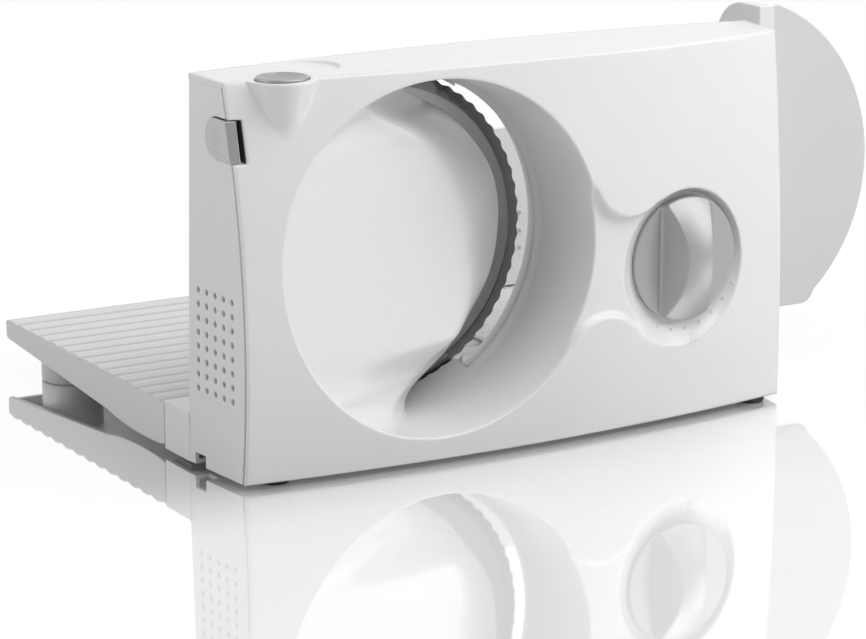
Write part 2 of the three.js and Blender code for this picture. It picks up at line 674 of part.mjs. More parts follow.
// Axle bush: bronze sleeve in the wheel hub.
const bush = turnedY([[4.15, 24.4], [6, 24.4], [6, 45.4], [4.15, 45.4]], BLADE_X, BLADE_Z, 24);
piece(drive, 'axle_bush', bush, 0xa9793f, 0.4, 1);

// Blade: stamped stainless disc, thinned to a scalloped edge.
function roundBlade() {
  const outlines = [];
  for (let i = 0; i < SCALLOPS * 2; i++) {
    const a = (i / (SCALLOPS * 2)) * 2 * Math.PI;
    const edge = BLADE_RADIUS - (i % 2) * 0.7;
    const at = (r, y) => [BLADE_X + r * Math.cos(a), y, BLADE_Z + r * Math.sin(a)];
    outlines.push([at(BLADE_HOLE, 51), at(78, 51.2), at(edge, 52.8), at(BLADE_HOLE, 52.3)]);
  }
  return skin(outlines, true);
}
piece(drive, 'blade', roundBlade(), 0xaeb0b3, 0.18, 1);

// Blade lock: plastic cap with a finger bar; its stem sits in the hub, and a quarter turn frees the blade.
function bladeLock() {
  const outline = [[0, 46.6], [3.9, 46.6], [3.9, 53.1], [20, 53.1], [20, 54.2], [17, 56], [0, 56]];
  const cap = turnedY(outline, BLADE_X, BLADE_Z, 28);
  return cap.add(box(BLADE_X - 14, BLADE_X + 14, 55, 58.6, BLADE_Z - 3, BLADE_Z + 3));
}
piece(drive, 'blade_lock', bladeLock(), PALE, 0.4);

// Slice thickness: the knob turns a stepless ramp, and the ramp sets the depth of the stop plate.
const thickness = section('thickness');

// Knob: silver dial with a domed grip left standing between two finger scoops with leaning walls.
function knob() {
  const dome = [];
  for (let i = 0; i <= 9; i++) {
    const r = KNOB_RADIUS * (1 - i / 9);
    const rise = KNOB_RISE + (KNOB_EDGE_RISE - KNOB_RISE) * (r / KNOB_RADIUS) ** 2;
    dome.push([r, KNOB_EDGE_Y - rise]);
  }
  const inner = KNOB_EDGE_Y + 0.5;
  const cap = turnedY([[0, inner], [KNOB_RADIUS - 0.1, inner], ...dome], KNOB_X, KNOB_Z, 48);
  const wall = (y) => 15.4 + 0.51 * (y - KNOB_EDGE_Y);
  const ring = (z) => [[-1, inner], [1, inner], [1, KNOB_FRONT_Y - 2], [-1, KNOB_FRONT_Y - 2]].map(
    ([way, y]) => [KNOB_X + way * wall(y), y, z]);
  const wedge = skin([ring(KNOB_Z - 40), ring(KNOB_Z + 40)]);
  const back = KNOB_EDGE_Y + 1.8;
  const disc = turnedY([[0, back], [KNOB_RADIUS - 0.6, back], [KNOB_RADIUS, back - 0.6],
    [KNOB_RADIUS, KNOB_EDGE_Y], [0, KNOB_EDGE_Y]], KNOB_X, KNOB_Z, 48);
  return tilted(cap.intersect(wedge).add(disc));
}
piece(thickness, 'thickness_knob', knob(), SILVER, 0.32, 0.7);

// Knob spindle: shaft through the bowl floor with a flange and a ramp that falls by the full stop travel.
const FOLLOWER_ANGLE = Math.PI / 2;
const RAMP_BASE = 8.4;

function knobSpindle() {
  const outlines = [];
  const steps = 30;
  const from = -0.3;
  const to = KNOB_TURN + 0.35;
  for (let i = 0; i <= steps; i++) {
    const a = from + ((to - from) * i) / steps;
    const share = THREE.MathUtils.clamp(a / KNOB_TURN, 0, 1);
    const y = RAMP_BASE + 16 - STOP_TRAVEL * share;
    const turn = FOLLOWER_ANGLE - a;
    const at = (r, h) => [KNOB_X + r * Math.cos(turn), h, KNOB_Z + r * Math.sin(turn)];
    outlines.push([at(8, RAMP_BASE - 1), at(8, y), at(16, y), at(16, RAMP_BASE - 1)]);
  }
  const end = KNOB_EDGE_Y + 2.1;
  const core = turnedY([[0, end], [5.3, end], [5.3, RAMP_BASE - 3.4], [17, RAMP_BASE - 3.4], [17, RAMP_BASE],
    [8.4, RAMP_BASE], [8.4, RAMP_BASE + 14], [0, RAMP_BASE + 14]], KNOB_X, KNOB_Z, 28);
  return tilted(core.add(skin(outlines)));
}
piece(thickness, 'knob_spindle', knobSpindle(), 0xd9d9d6, 0.5);

// Stop plate: flat food stop with a deep curved flange round the blade, two guide rods and a ramp follower.
function stopPlate() {
  let plate = plateXZ(stopOutline(0), STOP_FACE_Y - 2.4, STOP_FACE_Y, 30);
  const flange = new THREE.Shape();
  flange.absarc(BLADE_X, BLADE_Z, STOP_INNER_RADIUS, STOP_LOW, STOP_HIGH, false);
  flange.absarc(BLADE_X, BLADE_Z, STOP_INNER_RADIUS + 1.9, STOP_HIGH, STOP_LOW, true);
  const low = BLADE_Z + STOP_INNER_RADIUS * Math.sin(STOP_LOW);
  const high = BLADE_Z + STOP_INNER_RADIUS * Math.sin(STOP_HIGH);
  const band = box(BLADE_X, STOP_RIGHT, 0, 60, low, high);
  plate = plate.add(plateXZ(flange, THROAT_Y, STOP_FACE_Y, 30).intersect(band));
  plate = plate.add(box(170, STOP_RIGHT, 45, STOP_FACE_Y, low, low + 2));
  plate = plate.add(box(170, STOP_RIGHT, 45, STOP_FACE_Y, high - 2, high));
  plate = plate.add(box(STOP_RIGHT - 2, STOP_RIGHT, 45, STOP_FACE_Y, low, high));
  for (const [x, z] of STOP_GUIDES) plate = plate.add(rodY(4.2, 22, STOP_FACE_Y - 1, x, z, 14));
  const x = KNOB_X - 1.2 + FOLLOWER_RADIUS * Math.cos(FOLLOWER_ANGLE);
  const z = KNOB_Z + FOLLOWER_RADIUS * Math.sin(FOLLOWER_ANGLE);
  return plate.add(rodY(2.2, RAMP_BASE + 17.1, STOP_FACE_Y - 1, x, z, 16));
}
piece(thickness, 'stop_plate', stopPlate(), WHITE, 0.3);

// Buttons: a round power button on the top and a rounded safety button on the end, each on its own spring.
const controls = section('controls');

function powerButton() {
  const cap = turnedZ([[0, 186], [3.2, 186], [3.2, 201], [11, 201], [11, 199.4], [POWER_RADIUS, 199.4],
    [POWER_RADIUS, POWER_TOP - 0.8], [POWER_RADIUS - 0.8, POWER_TOP], [9, POWER_TOP - 0.2], [5, POWER_TOP - 1.2],
    [0, POWER_TOP - 1.6]], POWER_X, POWER_Y, 28);
  return cap;
}
piece(controls, 'power_button', powerButton(), SILVER, 0.34, 0.7);

const powerSeat = new THREE.Vector3(POWER_X, POWER_Y, 195.1);
const powerCoil = coil(powerSeat, new THREE.Vector3(0, 0, 1), 7.5, 0.35, 5.6, 3);
piece(controls, 'power_spring', powerCoil.body, STEEL, 0.35, 1);

// Safety button: flush with the front at the corner, standing proud of the end.
function safetyButton() {
  const block = plateYZ(safetyOutline(0), -1.6, 3.6);
  const fitted = block.intersect(bodyBlock({ front: 0.2, left: -3, rear: 1 }));
  const dish = new THREE.SphereGeometry(26, 24, 16).translate(-26.4, 20, SAFETY_Z);
  return fitted.subtract(solid(dish)).add(rodX(2.4, 3, 16.5, 22, SAFETY_Z, 16));
}
piece(controls, 'safety_button', safetyButton(), SILVER, 0.34, 0.7);

const safetyCoil = coil(new THREE.Vector3(3.9, 22, SAFETY_Z), new THREE.Vector3(1, 0, 0), 5, 0.35, 5.9, 3);
piece(controls, 'safety_spring', safetyCoil.body, STEEL, 0.35, 1);
const leastClear = Math.min(powerCoil.clear, safetyCoil.clear);
console.log(`least clear gap between spring turns: ${leastClear.toFixed(2)} mm`);

// Switch block below the power button, with a plunger hole for the button stem.
function switchBlock() {
  const body = box(18, 44, 20, 40, 150, 166).add(box(22, 36, 4, 21, 150, 166));
  return body.subtract(rodZ(3.7, 160, 170, POWER_X, POWER_Y, 16));
}
piece(controls, 'switch_block', switchBlock(), DARK, 0.5);

// Table: white moulding with round ribs along X, a belly near the hinge, end walls and stiffening webs.
const table = section('table');

function tableSide() {
  const shape = new THREE.Shape();
  shape.moveTo(TABLE_NEAR_Y, TABLE_TOP - 1.3);
  shape.lineTo(TABLE_NEAR_Y, 5.2);
  shape.quadraticCurveTo(84, 3.4, 108, 3.2);
  shape.quadraticCurveTo(132, 3.2, 152, 7);
  shape.lineTo(TABLE_FAR_Y - 1.5, 17.2);
  shape.lineTo(TABLE_FAR_Y, 18.6);
  shape.lineTo(TABLE_FAR_Y, TABLE_TOP - 1.3);
  return shape;
}

function tableTop() {
  const shape = new THREE.Shape();
  shape.moveTo(TABLE_NEAR_Y, TABLE_TOP - 3.6);
  shape.lineTo(TABLE_FAR_Y, TABLE_TOP - 3.6);
  shape.lineTo(TABLE_FAR_Y, TABLE_TOP - 1.2);
  const pitch = (TABLE_FAR_Y - TABLE_NEAR_Y - 5) / TABLE_RIBS;
  for (let i = 0; i < TABLE_RIBS; i++) {
    const y = TABLE_FAR_Y - 2.5 - pitch * i;
    shape.lineTo(y, TABLE_TOP - 1.2);
    shape.quadraticCurveTo(y - pitch / 2 + 1, TABLE_TOP + 1.2, y - pitch + 2, TABLE_TOP - 1.2);
  }
  shape.lineTo(TABLE_NEAR_Y, TABLE_TOP - 1.2);
  return shape;
}

function ribbedTable() {
  let body = plateYZ(tableTop(), LEFT_END, BODY_REAR_LENGTH, 4);
  for (const x of [LEFT_END, BODY_REAR_LENGTH - 3]) body = body.add(plateYZ(tableSide(), x, x + 3, 8));
  body = body.add(box(LEFT_END, BODY_REAR_LENGTH, TABLE_FAR_Y - 3, TABLE_FAR_Y, 18.6, TABLE_TOP - 2));
  body = body.add(box(LEFT_END, BODY_REAR_LENGTH, TABLE_NEAR_Y, TABLE_NEAR_Y + 3, 5.2, TABLE_TOP - 2));
  for (const x of [110, 222]) {
    body = body.add(box(x - 1.2, x + 1.2, TABLE_NEAR_Y + 1, TABLE_FAR_Y - 1, 19, TABLE_TOP - 3));
  }
  for (const [x, way] of HINGES) {
    const [a, b] = [x - 0.4 * way, x + 8.4 * way];
    const [c, d] = [x + 8.8 * way, x + 18 * way];
    body = body.add(rodX(5, Math.min(c, d), Math.max(c, d), HINGE_Y, HINGE_Z, 16));
    body = body.subtract(rodX(5.6, Math.min(a, b), Math.max(a, b), HINGE_Y, HINGE_Z, 16));
    body = body.subtract(rodX(2.4, Math.min(a, d) - 1, Math.max(a, d) + 1, HINGE_Y, HINGE_Z, 12));
  }
  return body;
}
piece(table, 'ribbed_table', ribbedTable(), PALE, 0.34);

function hingePin(x, way) {
  const [a, b] = [x + 0.4 * way, x + 17.6 * way];
  return rodX(2, Math.min(a, b), Math.max(a, b), HINGE_Y, HINGE_Z, 16);
}
piece(table, 'hinge_pin_left', hingePin(...HINGES[0]), STEEL, 0.35, 1);
piece(table, 'hinge_pin_right', hingePin(...HINGES[1]), STEEL, 0.35, 1);

// Table feet: round feet with a shallow dished sole under the far corners.
function tableFoot(x) {
  const y = 243;
  const top = TABLE_TOP - 4;
  return turnedZ([[0, 1.6], [12, 1.6], [13.2, 0], [16, 0], [17, 1], [17, top], [0, top]], x, y, 24);
}
piece(table, 'table_foot_left', tableFoot(17.5), PALE, 0.4);
piece(table, 'table_foot_right', tableFoot(315.5), PALE, 0.4);

// Carriage: ribbed tray, pusher wall and rounded hand guard in one moulding, sliding along the table.
const carriage = section('carriage');

function carriageTray() {
  const shape = new THREE.Shape();
  const right = WALL_X + 9;
  const ribs = 34;
  const pitch = (WALL_X - TRAY_LEFT - 4) / ribs;
  shape.moveTo(TRAY_LEFT + 1, TABLE_TOP + 0.5);
  shape.lineTo(right, TABLE_TOP + 0.5);
  shape.lineTo(right, TRAY_TOP);
  shape.lineTo(WALL_X, TRAY_TOP);
  for (let i = 0; i < ribs; i++) {
    const x = WALL_X - 2 - pitch * i;
    shape.lineTo(x, TRAY_TOP);
    shape.lineTo(x - 0.35 * pitch, TRAY_TOP - 0.7);
    shape.lineTo(x - 0.65 * pitch, TRAY_TOP - 0.7);
  }
  shape.lineTo(TRAY_LEFT + 1.6, TRAY_TOP);
  shape.lineTo(TRAY_LEFT, TRAY_TOP - 1);
  return plateXZ(shape, CARRIAGE_Y, CARRIAGE_FAR_Y);
}

function pusherWall() {
  const shape = new THREE.Shape();
  const far = CARRIAGE_Y + 41;
  shape.moveTo(CARRIAGE_Y, TRAY_TOP - 2);
  shape.lineTo(CARRIAGE_FAR_Y, TRAY_TOP - 2);
  shape.lineTo(CARRIAGE_FAR_Y, 48);
  shape.lineTo(far + 26, 56);
  shape.quadraticCurveTo(far, 62, far, 92);
  shape.lineTo(far, WALL_TOP - 24);
  shape.absarc(far - 24, WALL_TOP - 24, 24, 0, Math.PI / 2, false);
  shape.lineTo(CARRIAGE_Y, WALL_TOP);
  return plateYZ(shape, WALL_X, WALL_X + 9, 10);
}

function handGuard() {
  const shape = new THREE.Shape();
  const low = 35.4;
  const reach = Math.asin((low + 7 - GUARD_Z) / GUARD_RADIUS);
  const rise = Math.asin((WALL_TOP - GUARD_Z) / GUARD_RADIUS);
  shape.moveTo(WALL_X + 2, low);
  shape.lineTo(GUARD_X + GUARD_RADIUS * Math.cos(reach) - 10, low);
  shape.quadraticCurveTo(GUARD_X + GUARD_RADIUS * Math.cos(reach) - 2, low,
    GUARD_X + GUARD_RADIUS * Math.cos(reach), low + 7);
  shape.absarc(GUARD_X, GUARD_Z, GUARD_RADIUS, reach, 0, false);
  shape.absarc(GUARD_X, GUARD_Z, GUARD_RADIUS, 0, rise, false);
  shape.lineTo(WALL_X + 2, WALL_TOP);
  return plateXZ(shape, CARRIAGE_Y, CARRIAGE_Y + 3, 20);
}

function foodCarriage() {
  const corner = box(WALL_X, WALL_X + 9, CARRIAGE_Y, CARRIAGE_Y + 3, 30, 60);
  return join(carriageTray(), pusherWall(), handGuard(), corner);
}
piece(carriage, 'food_carriage', foodCarriage(), WHITE, 0.34);

// Remnant holder: an upright plate with food spikes and a hollow grip behind it, standing on the tray.
function remnantHolder() {
  const face = new THREE.Shape();
  const [left, right, low, high] = [212, 344, TRAY_TOP + 0.6, 127];
  face.moveTo(left + 4, low);
  face.lineTo(right - 4, low);
  face.lineTo(right, low + 4);
  face.lineTo(right, high - 16);
  face.absarc(right - 16, high - 16, 16, 0, Math.PI / 2, false);
  face.absarc(left + 16, high - 16, 16, Math.PI / 2, Math.PI, false);
  face.lineTo(left, low + 4);
  let holder = plateXZ(face, HOLDER_Y, HOLDER_Y + 3, 8);
  holder = holder.add(box(left + 4, right - 4, HOLDER_Y, HOLDER_Y + 22, low, low + 3));
  for (const x of [left + 22, right - 25]) {
    holder = holder.add(box(x, x + 3, HOLDER_Y, HOLDER_Y + 20, low, high - 22));
  }
  const grip = box(left + 22, right - 22, HOLDER_Y + 1, HOLDER_Y + 20, high - 25, high - 22);
  holder = holder.add(grip).add(box(left + 22, right - 22, HOLDER_Y + 17, HOLDER_Y + 20, high - 50, high - 22));
  for (let column = 0; column < 5; column++) {
    for (let row = 0; row < 3; row++) {
      const spike = new THREE.ConeGeometry(1.4, 5, 8).rotateX(Math.PI);
      const x = left + 20 + 24 * column - 2;
      holder = holder.add(solid(spike.translate(x, HOLDER_Y - 2.4, low + 22 + 10.5 * row)));
    }
  }
  return holder;
}
piece(carriage, 'remnant_holder', remnantHolder(), WHITE, 0.36);

export default slicer;
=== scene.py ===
import math
import bpy
import bmesh
import numpy as np
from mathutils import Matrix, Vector
from mathutils.geometry import delaunay_2d_cdt
from mathutils.kdtree import KDTree


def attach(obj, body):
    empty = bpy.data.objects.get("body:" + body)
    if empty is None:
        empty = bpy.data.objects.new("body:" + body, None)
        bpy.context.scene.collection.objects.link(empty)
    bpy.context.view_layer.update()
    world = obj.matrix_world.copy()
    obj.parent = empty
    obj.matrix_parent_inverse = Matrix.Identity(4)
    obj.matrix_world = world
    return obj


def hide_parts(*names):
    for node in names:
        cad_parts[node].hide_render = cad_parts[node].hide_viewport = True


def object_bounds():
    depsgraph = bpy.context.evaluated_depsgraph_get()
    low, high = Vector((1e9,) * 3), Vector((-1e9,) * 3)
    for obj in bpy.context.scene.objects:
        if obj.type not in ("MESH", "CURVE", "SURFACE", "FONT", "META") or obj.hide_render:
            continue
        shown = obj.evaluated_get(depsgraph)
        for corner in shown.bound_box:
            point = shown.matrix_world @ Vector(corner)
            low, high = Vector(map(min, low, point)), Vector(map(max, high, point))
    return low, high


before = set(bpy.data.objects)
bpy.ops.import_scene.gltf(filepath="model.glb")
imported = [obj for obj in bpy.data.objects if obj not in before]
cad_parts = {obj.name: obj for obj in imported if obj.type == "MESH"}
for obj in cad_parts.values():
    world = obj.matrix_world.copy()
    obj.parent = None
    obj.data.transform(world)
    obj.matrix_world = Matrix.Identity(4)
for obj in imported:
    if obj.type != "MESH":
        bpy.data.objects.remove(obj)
cad_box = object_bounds()

# Rear housing: the white shell that carries everything, with both ends, the rear wall round the blade and the hinge
# block. It is injection moulded in satin white plastic with broken edges. Sizes in this file are millimetres from
# the body's front left corner: x along the front, y towards the food side, z up from the floor.
BODY_LENGTH, BODY_REAR_LENGTH, REAR_Y, BODY_LOW, BODY_TOP = 329.5, 337.0, 54.5, 3.0, 201.5
MIDDLE = (211.7, 132.25, 0.0)


def in_place(points):
    """Body millimetres to metres in the slicer's own frame."""
    return (np.asarray(points, float) - MIDDLE) / 1000.0


def shown(name, mesh):
    piece = bpy.data.objects.new(name, mesh)
    bpy.context.scene.collection.objects.link(piece)
    return piece


def from_solid(node, name, cut=None):
    """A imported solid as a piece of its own: corners merged, flat faces joined, shaded by its creases."""
    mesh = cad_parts[node].data.copy()
    mesh.name = name
    mesh.materials.clear()
    work = bmesh.new()
    work.from_mesh(mesh)
    bmesh.ops.remove_doubles(work, verts=work.verts, dist=0.000002)
    if cut is not None:
        cut(work)
    bmesh.ops.dissolve_limit(work, angle_limit=math.radians(0.4), verts=work.verts, edges=work.edges)
    work.to_mesh(mesh)
    work.free()
    mesh.shade_smooth()
    mesh.set_sharp_from_angle(angle=math.radians(32))
    return shown(name, mesh)


def soften(piece, edge, steps=2):
    """Round the sharp edges and let the broad faces keep their own shading."""
    round_off = piece.modifiers.new("rounded edges", "BEVEL")
    round_off.width, round_off.segments, round_off.limit_method = edge / 1000.0, steps, "ANGLE"
    round_off.angle_limit, round_off.use_clamp_overlap = math.radians(38), False
    piece.modifiers.new("even shading", "WEIGHTED_NORMAL").keep_sharp = False


def new_finish(name):
    finish = bpy.data.materials.new(name)
    finish.use_nodes = True
    return finish, finish.node_tree.nodes


def feed(node, settings):
    """Give each socket its value, or link it to what feeds it: a socket, or a block's first output in use."""
    for socket, value in settings.items():
        if isinstance(value, bpy.types.Node):
            value = next(out for out in value.outputs if out.enabled)
        if isinstance(value, bpy.types.NodeSocket):
            node.id_data.links.new(value, node.inputs[socket])
        else:
            node.inputs[socket].default_value = value


def block(nodes, kind, settings=None, family="ShaderNode", **properties):
    """One block of a node tree with its own properties, fed socket by socket."""
    made = nodes.new(family + kind)
    for name, value in properties.items():
        setattr(made, name, value)
    feed(made, settings or {})
    return made


def tinted(colour, share, most=1.0):
    return (*[min(most, c * share) for c in colour], 1)


def moulded_plastic(name, pale, shade, rough, rubbed_rough, grain=0.03):
    """Moulded plastic: faint cloudy tint, uneven gloss, fine spark-eroded grain and paler rubbed edges."""
    finish, nodes = new_finish(name)
    place = block(nodes, "TexCoord").outputs["Object"]
    cloud = block(nodes, "TexNoise", {"Scale": 22.0, "Detail": 3.0, "Vector": place})
    tint = block(nodes, "Mix", {"A": (*shade, 1), "B": (*pale, 1), "Factor": cloud}, data_type="RGBA")
    worn = block(nodes, "NewGeometry").outputs["Pointiness"]
    edge = block(nodes, "MapRange", {"From Min": 0.53, "From Max": 0.7, "To Max": 0.4, "Value": worn})
    rub = block(nodes, "Mix", {"A": tint, "B": tinted(pale, 1.08, 0.92), "Factor": edge}, data_type="RGBA")
    smear = block(nodes, "TexNoise", {"Scale": 55.0, "Detail": 5.0, "Distortion": 0.6, "Vector": place})
    gloss = block(nodes, "MapRange", {"To Min": rough, "To Max": rubbed_rough, "Value": smear})
    speck = block(nodes, "TexNoise", {"Scale": 1400.0, "Detail": 2.0, "Vector": place})
    bump = block(nodes, "Bump", {"Strength": grain, "Distance": 0.0002, "Height": speck})
    feed(nodes["Principled BSDF"], {"IOR": 1.49, "Base Color": rub, "Roughness": gloss, "Normal": bump})
    return finish


VENT_COLUMNS, VENT_ROWS, VENT_STEPS = 5, 8, 24
VENT_Y, VENT_Z, VENT_WIDE, VENT_HIGH, VENT_R, WALL = 10.8, 43.5, 8.5, 7.2, 1.6, 2.6
VENT_FIELD = (VENT_Y - VENT_WIDE / 2, VENT_Y + VENT_WIDE * (VENT_COLUMNS - 0.5),
              VENT_Z - VENT_HIGH / 2, VENT_Z + VENT_HIGH * (VENT_ROWS - 0.5))


def open_vent_field(work):
    """Takes the field of air holes out of the ventilated end, so that the grille can be set into it."""
    end_x = in_place((3.5, 0, 0))[0]
    low, high = in_place((0, VENT_FIELD[0], VENT_FIELD[2])), in_place((0, VENT_FIELD[1], VENT_FIELD[3]))
    for axis, level in ((1, low[1]), (1, high[1]), (2, low[2]), (2, high[2])):
        wall = [f for f in work.faces if all(v.co.x < end_x for v in f.verts)]
        across = [0.0, 0.0, 0.0]
        across[axis] = 1.0
        spot = [0.0, 0.0, 0.0]
        spot[axis] = level
        parts = set(wall) | {e for f in wall for e in f.edges} | {v for f in wall for v in f.verts}
        bmesh.ops.bisect_plane(work, geom=list(parts), dist=1e-7, plane_co=spot, plane_no=across)
    gone = [f for f in work.faces if all(v.co.x < end_x and low[1] - 1e-6 < v.co.y < high[1] + 1e-6
                                         and low[2] - 1e-6 < v.co.z < high[2] + 1e-6 for v in f.verts)]
    bmesh.ops.delete(work, geom=gone, context="FACES")


white_plastic = moulded_plastic("white_plastic", (0.815, 0.815, 0.81), (0.79, 0.791, 0.79), 0.17, 0.27)
rear_housing = from_solid("rear_housing", "rear_housing_shell", open_vent_field)
soften(rear_housing, 0.5)
eased = bpy.data.meshes.new_from_object(rear_housing.evaluated_get(bpy.context.evaluated_depsgraph_get()))
rear_housing.modifiers.clear()
rear_housing.data = eased
for corner in eased.vertices:
    corner.co.x = max(corner.co.x, cad_box[0][0])
rear_housing.data.materials.append(white_plastic)
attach(rear_housing, "housing")
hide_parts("rear_housing")

# Air grille: forty round holes in the ventilated end, with a broken outer edge, moulded with the wall. One cell of
# the grille is repeated over the field and then laid on the end's slightly slanted face.


def repeat(name, unit, spots, finish, turns=None, size=1.0):
    """One plain mesh with a copy of the unit at each spot, in metres; turns are angles about x, y and z."""
    rule = bpy.data.node_groups.new(name + "_rule", "GeometryNodeTree")
    inputs = {}
    for label, kind in (("Spots", "Geometry"), ("Unit", "Object"), ("Size", "Float"), ("Finish", "Material")):
        made = rule.interface.new_socket(label, in_out="INPUT", socket_type="NodeSocket" + kind)
        inputs[label] = made.identifier
    rule.interface.new_socket("Result", in_out="OUTPUT", socket_type="NodeSocketGeometry")
    nodes, family = rule.nodes, "GeometryNode"
    given = nodes.new("NodeGroupInput").outputs
    shape = block(nodes, "ObjectInfo", {"Object": given["Unit"]}, family)
    turn = block(nodes, "InputNamedAttribute", {"Name": "turn"}, family, data_type="FLOAT_VECTOR")
    spread = block(nodes, "InstanceOnPoints", {"Points": given["Spots"], "Instance": shape.outputs["Geometry"],
                                               "Rotation": turn, "Scale": given["Size"]}, family)
    whole = block(nodes, "RealizeInstances", {"Geometry": spread}, family)
    coat = block(nodes, "SetMaterial", {"Geometry": whole, "Material": given["Finish"]}, family)
    feed(nodes.new("NodeGroupOutput"), {"Result": coat})
    seats = bpy.data.meshes.new(name + "_spots")
    seats.from_pydata([tuple(s) for s in spots], [], [])
    angle = seats.attributes.new("turn", "FLOAT_VECTOR", "POINT")
    angle.data.foreach_set("vector", np.zeros(3 * len(spots)) if turns is None else np.ravel(turns))
    piece = shown(name, seats)
    layout = piece.modifiers.new("layout", "NODES")
    layout.node_group = rule
    for label, value in (("Unit", unit), ("Size", size), ("Finish", finish)):
        layout[inputs[label]] = value
    state = bpy.context.evaluated_depsgraph_get()
    mesh = bpy.data.meshes.new_from_object(piece.evaluated_get(state))
    piece.modifiers.clear()
    piece.data = mesh
    bpy.data.objects.remove(unit)
    return piece


def skin(rows, closed=False):
    """Points and quads of a skin over equal rows of points; a closed one runs round each row."""
    n, quads = len(rows[0]), []
    for a in range(0, (len(rows) - 1) * n, n):
        for j in range(n if closed else n - 1):
            k = (j + 1) % n
            quads.append((a + j, a + k, a + n + k, a + n + j))
    return np.vstack(rows), quads


def make_piece(name, points, faces, facing=None, crease=None, moved=True):
    """Mesh object from body millimetres; facing is (point, direction) of a face known to look outwards."""
    mesh = bpy.data.meshes.new(name)
    place = in_place(points) if moved else np.asarray(points) / 1000.0
    mesh.from_pydata(place.tolist(), [], [tuple(int(i) for i in f) for f in faces])
    work = bmesh.new()
    work.from_mesh(mesh)
    bmesh.ops.remove_doubles(work, verts=work.verts, dist=0.00001)
    bmesh.ops.delete(work, geom=[v for v in work.verts if not v.link_faces], context="VERTS")
    bmesh.ops.recalc_face_normals(work, faces=work.faces)
    if facing is not None:
        spot = Vector(in_place(facing[0]) if moved else np.array(facing[0]) / 1000.0)
        near = min(work.faces, key=lambda f: (f.calc_center_median() - spot).length)
        if near.normal.dot(Vector(facing[1])) < 0:
            bmesh.ops.reverse_faces(work, faces=work.faces)
    work.to_mesh(mesh)
    work.free()
    mesh.shade_smooth()
    if crease is not None:
        mesh.set_sharp_from_angle(angle=math.radians(crease))
    return shown(name, mesh)


def front_y(x, z):
    """The bowed front face, before the outlet and the knob bowl are let into it."""
    u, w = x / BODY_LENGTH, (z - BODY_LOW) / (BODY_TOP - BODY_LOW)
    setback = (1 - w) * 6.0 * u + w * (17.6 * (1 - u) + 16.5 * u)
    bow_along = 4 * u * (1 - u) * (12.4 * (1 - w) + 30.6 * w)
    bow_up = 4 * w * (1 - w) * (11.4 * (1 - u) + 3.8 * u)
    return setback - bow_along - bow_up


def end_x(y, z):
    """Where the outer face of the ventilated end stands."""
    w = (z - BODY_LOW) / (BODY_TOP - BODY_LOW)
    return -4.0 * (1 - w) * (y - front_y(0.0, z)) / (REAR_Y - front_y(0.0, z))


def circle(angle, r, x=0.0, z=0.0):
    return np.c_[x + r * np.cos(angle), z + r * np.sin(angle)]


def whole_turn(steps):
    return np.linspace(0, 2 * math.pi, steps, endpoint=False)


around = whole_turn(VENT_STEPS)
square = np.minimum(VENT_WIDE / 2 / np.maximum(np.abs(np.cos(around)), 1e-6),
                    VENT_HIGH / 2 / np.maximum(np.abs(np.sin(around)), 1e-6))
corner = np.arctan2(VENT_HIGH, VENT_WIDE)
for at in (corner, math.pi - corner, math.pi + corner, 2 * math.pi - corner):
    nearest = np.argmin(np.abs(around - at))
    around[nearest] = at
    square[nearest] = math.hypot(VENT_WIDE, VENT_HIGH) / 2
cell = []
for r, deep in ((square, 0.0), (VENT_R + 0.45, 0.0), (VENT_R + 0.2, 0.08), (VENT_R + 0.04, 0.26), (VENT_R, 0.5),
                (VENT_R, WALL), (square, WALL)):
    cell.append(np.c_[np.full(VENT_STEPS, deep), circle(around, r)])
vent_cell = make_piece("vent_cell", *skin(cell, closed=True), ((0, 3, 3), (-1, 0, 0)), crease=50, moved=False)
vent_spots = [in_place((0, VENT_Y + VENT_WIDE * c, VENT_Z + VENT_HIGH * r))
              for c in range(VENT_COLUMNS) for r in range(VENT_ROWS)]
air_grille = repeat("air_grille", vent_cell, vent_spots, white_plastic)
co = np.empty(3 * len(air_grille.data.vertices))
air_grille.data.vertices.foreach_get("co", co)
co = co.reshape(-1, 3)
co[:, 0] += end_x(co[:, 1] * 1000 + MIDDLE[1], co[:, 2] * 1000) / 1000
air_grille.data.vertices.foreach_set("co", co.ravel())
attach(air_grille, "housing")

# Feet of the body: four dark rubber pads with a rounded sole and a stud pressed into the bottom. The cord gland is
# a bush of the same rubber behind the cord notch, and the switch block is moulded in dark plastic.


def dark_rubber(name, colour, rough):
    """Rubber or dark plastic: dull, with a fine powdery bloom and a speckled grain."""
    finish, nodes = new_finish(name)
    place = block(nodes, "TexCoord").outputs["Object"]
    bloom = block(nodes, "TexNoise", {"Scale": 140.0, "Detail": 6.0, "Vector": place})
    tone = block(nodes, "Mix", {"A": tinted(colour, 0.75), "B": tinted(colour, 1.35), "Factor": bloom},
                 data_type="RGBA")
    dull = block(nodes, "MapRange", {"To Min": rough - 0.1, "To Max": rough + 0.1, "Value": bloom})
    pit = block(nodes, "TexNoise", {"Scale": 2200.0, "Vector": place})
    bump = block(nodes, "Bump", {"Strength": 0.18, "Distance": 0.0002, "Height": pit})
    feed(nodes["Principled BSDF"], {"Base Color": tone, "Roughness": dull, "Normal": bump})
    return finish


def rounded(corners, radius, steps=4):
    """A row of corners with each inner corner rounded off."""
    row = [tuple(corners[0])]
    for before, at, after in zip(corners, corners[1:], corners[2:]):
        before, at, after = np.array(before, float), np.array(at, float), np.array(after, float)
        into, out = before - at, after - at
        a = at + into * min(radius / np.linalg.norm(into), 0.45)
        b = at + out * min(radius / np.linalg.norm(out), 0.45)
        row += [tuple((1 - t) ** 2 * a + 2 * t * (1 - t) * at + t * t * b) for t in np.linspace(0, 1, steps)]
    return row + [tuple(corners[-1])]


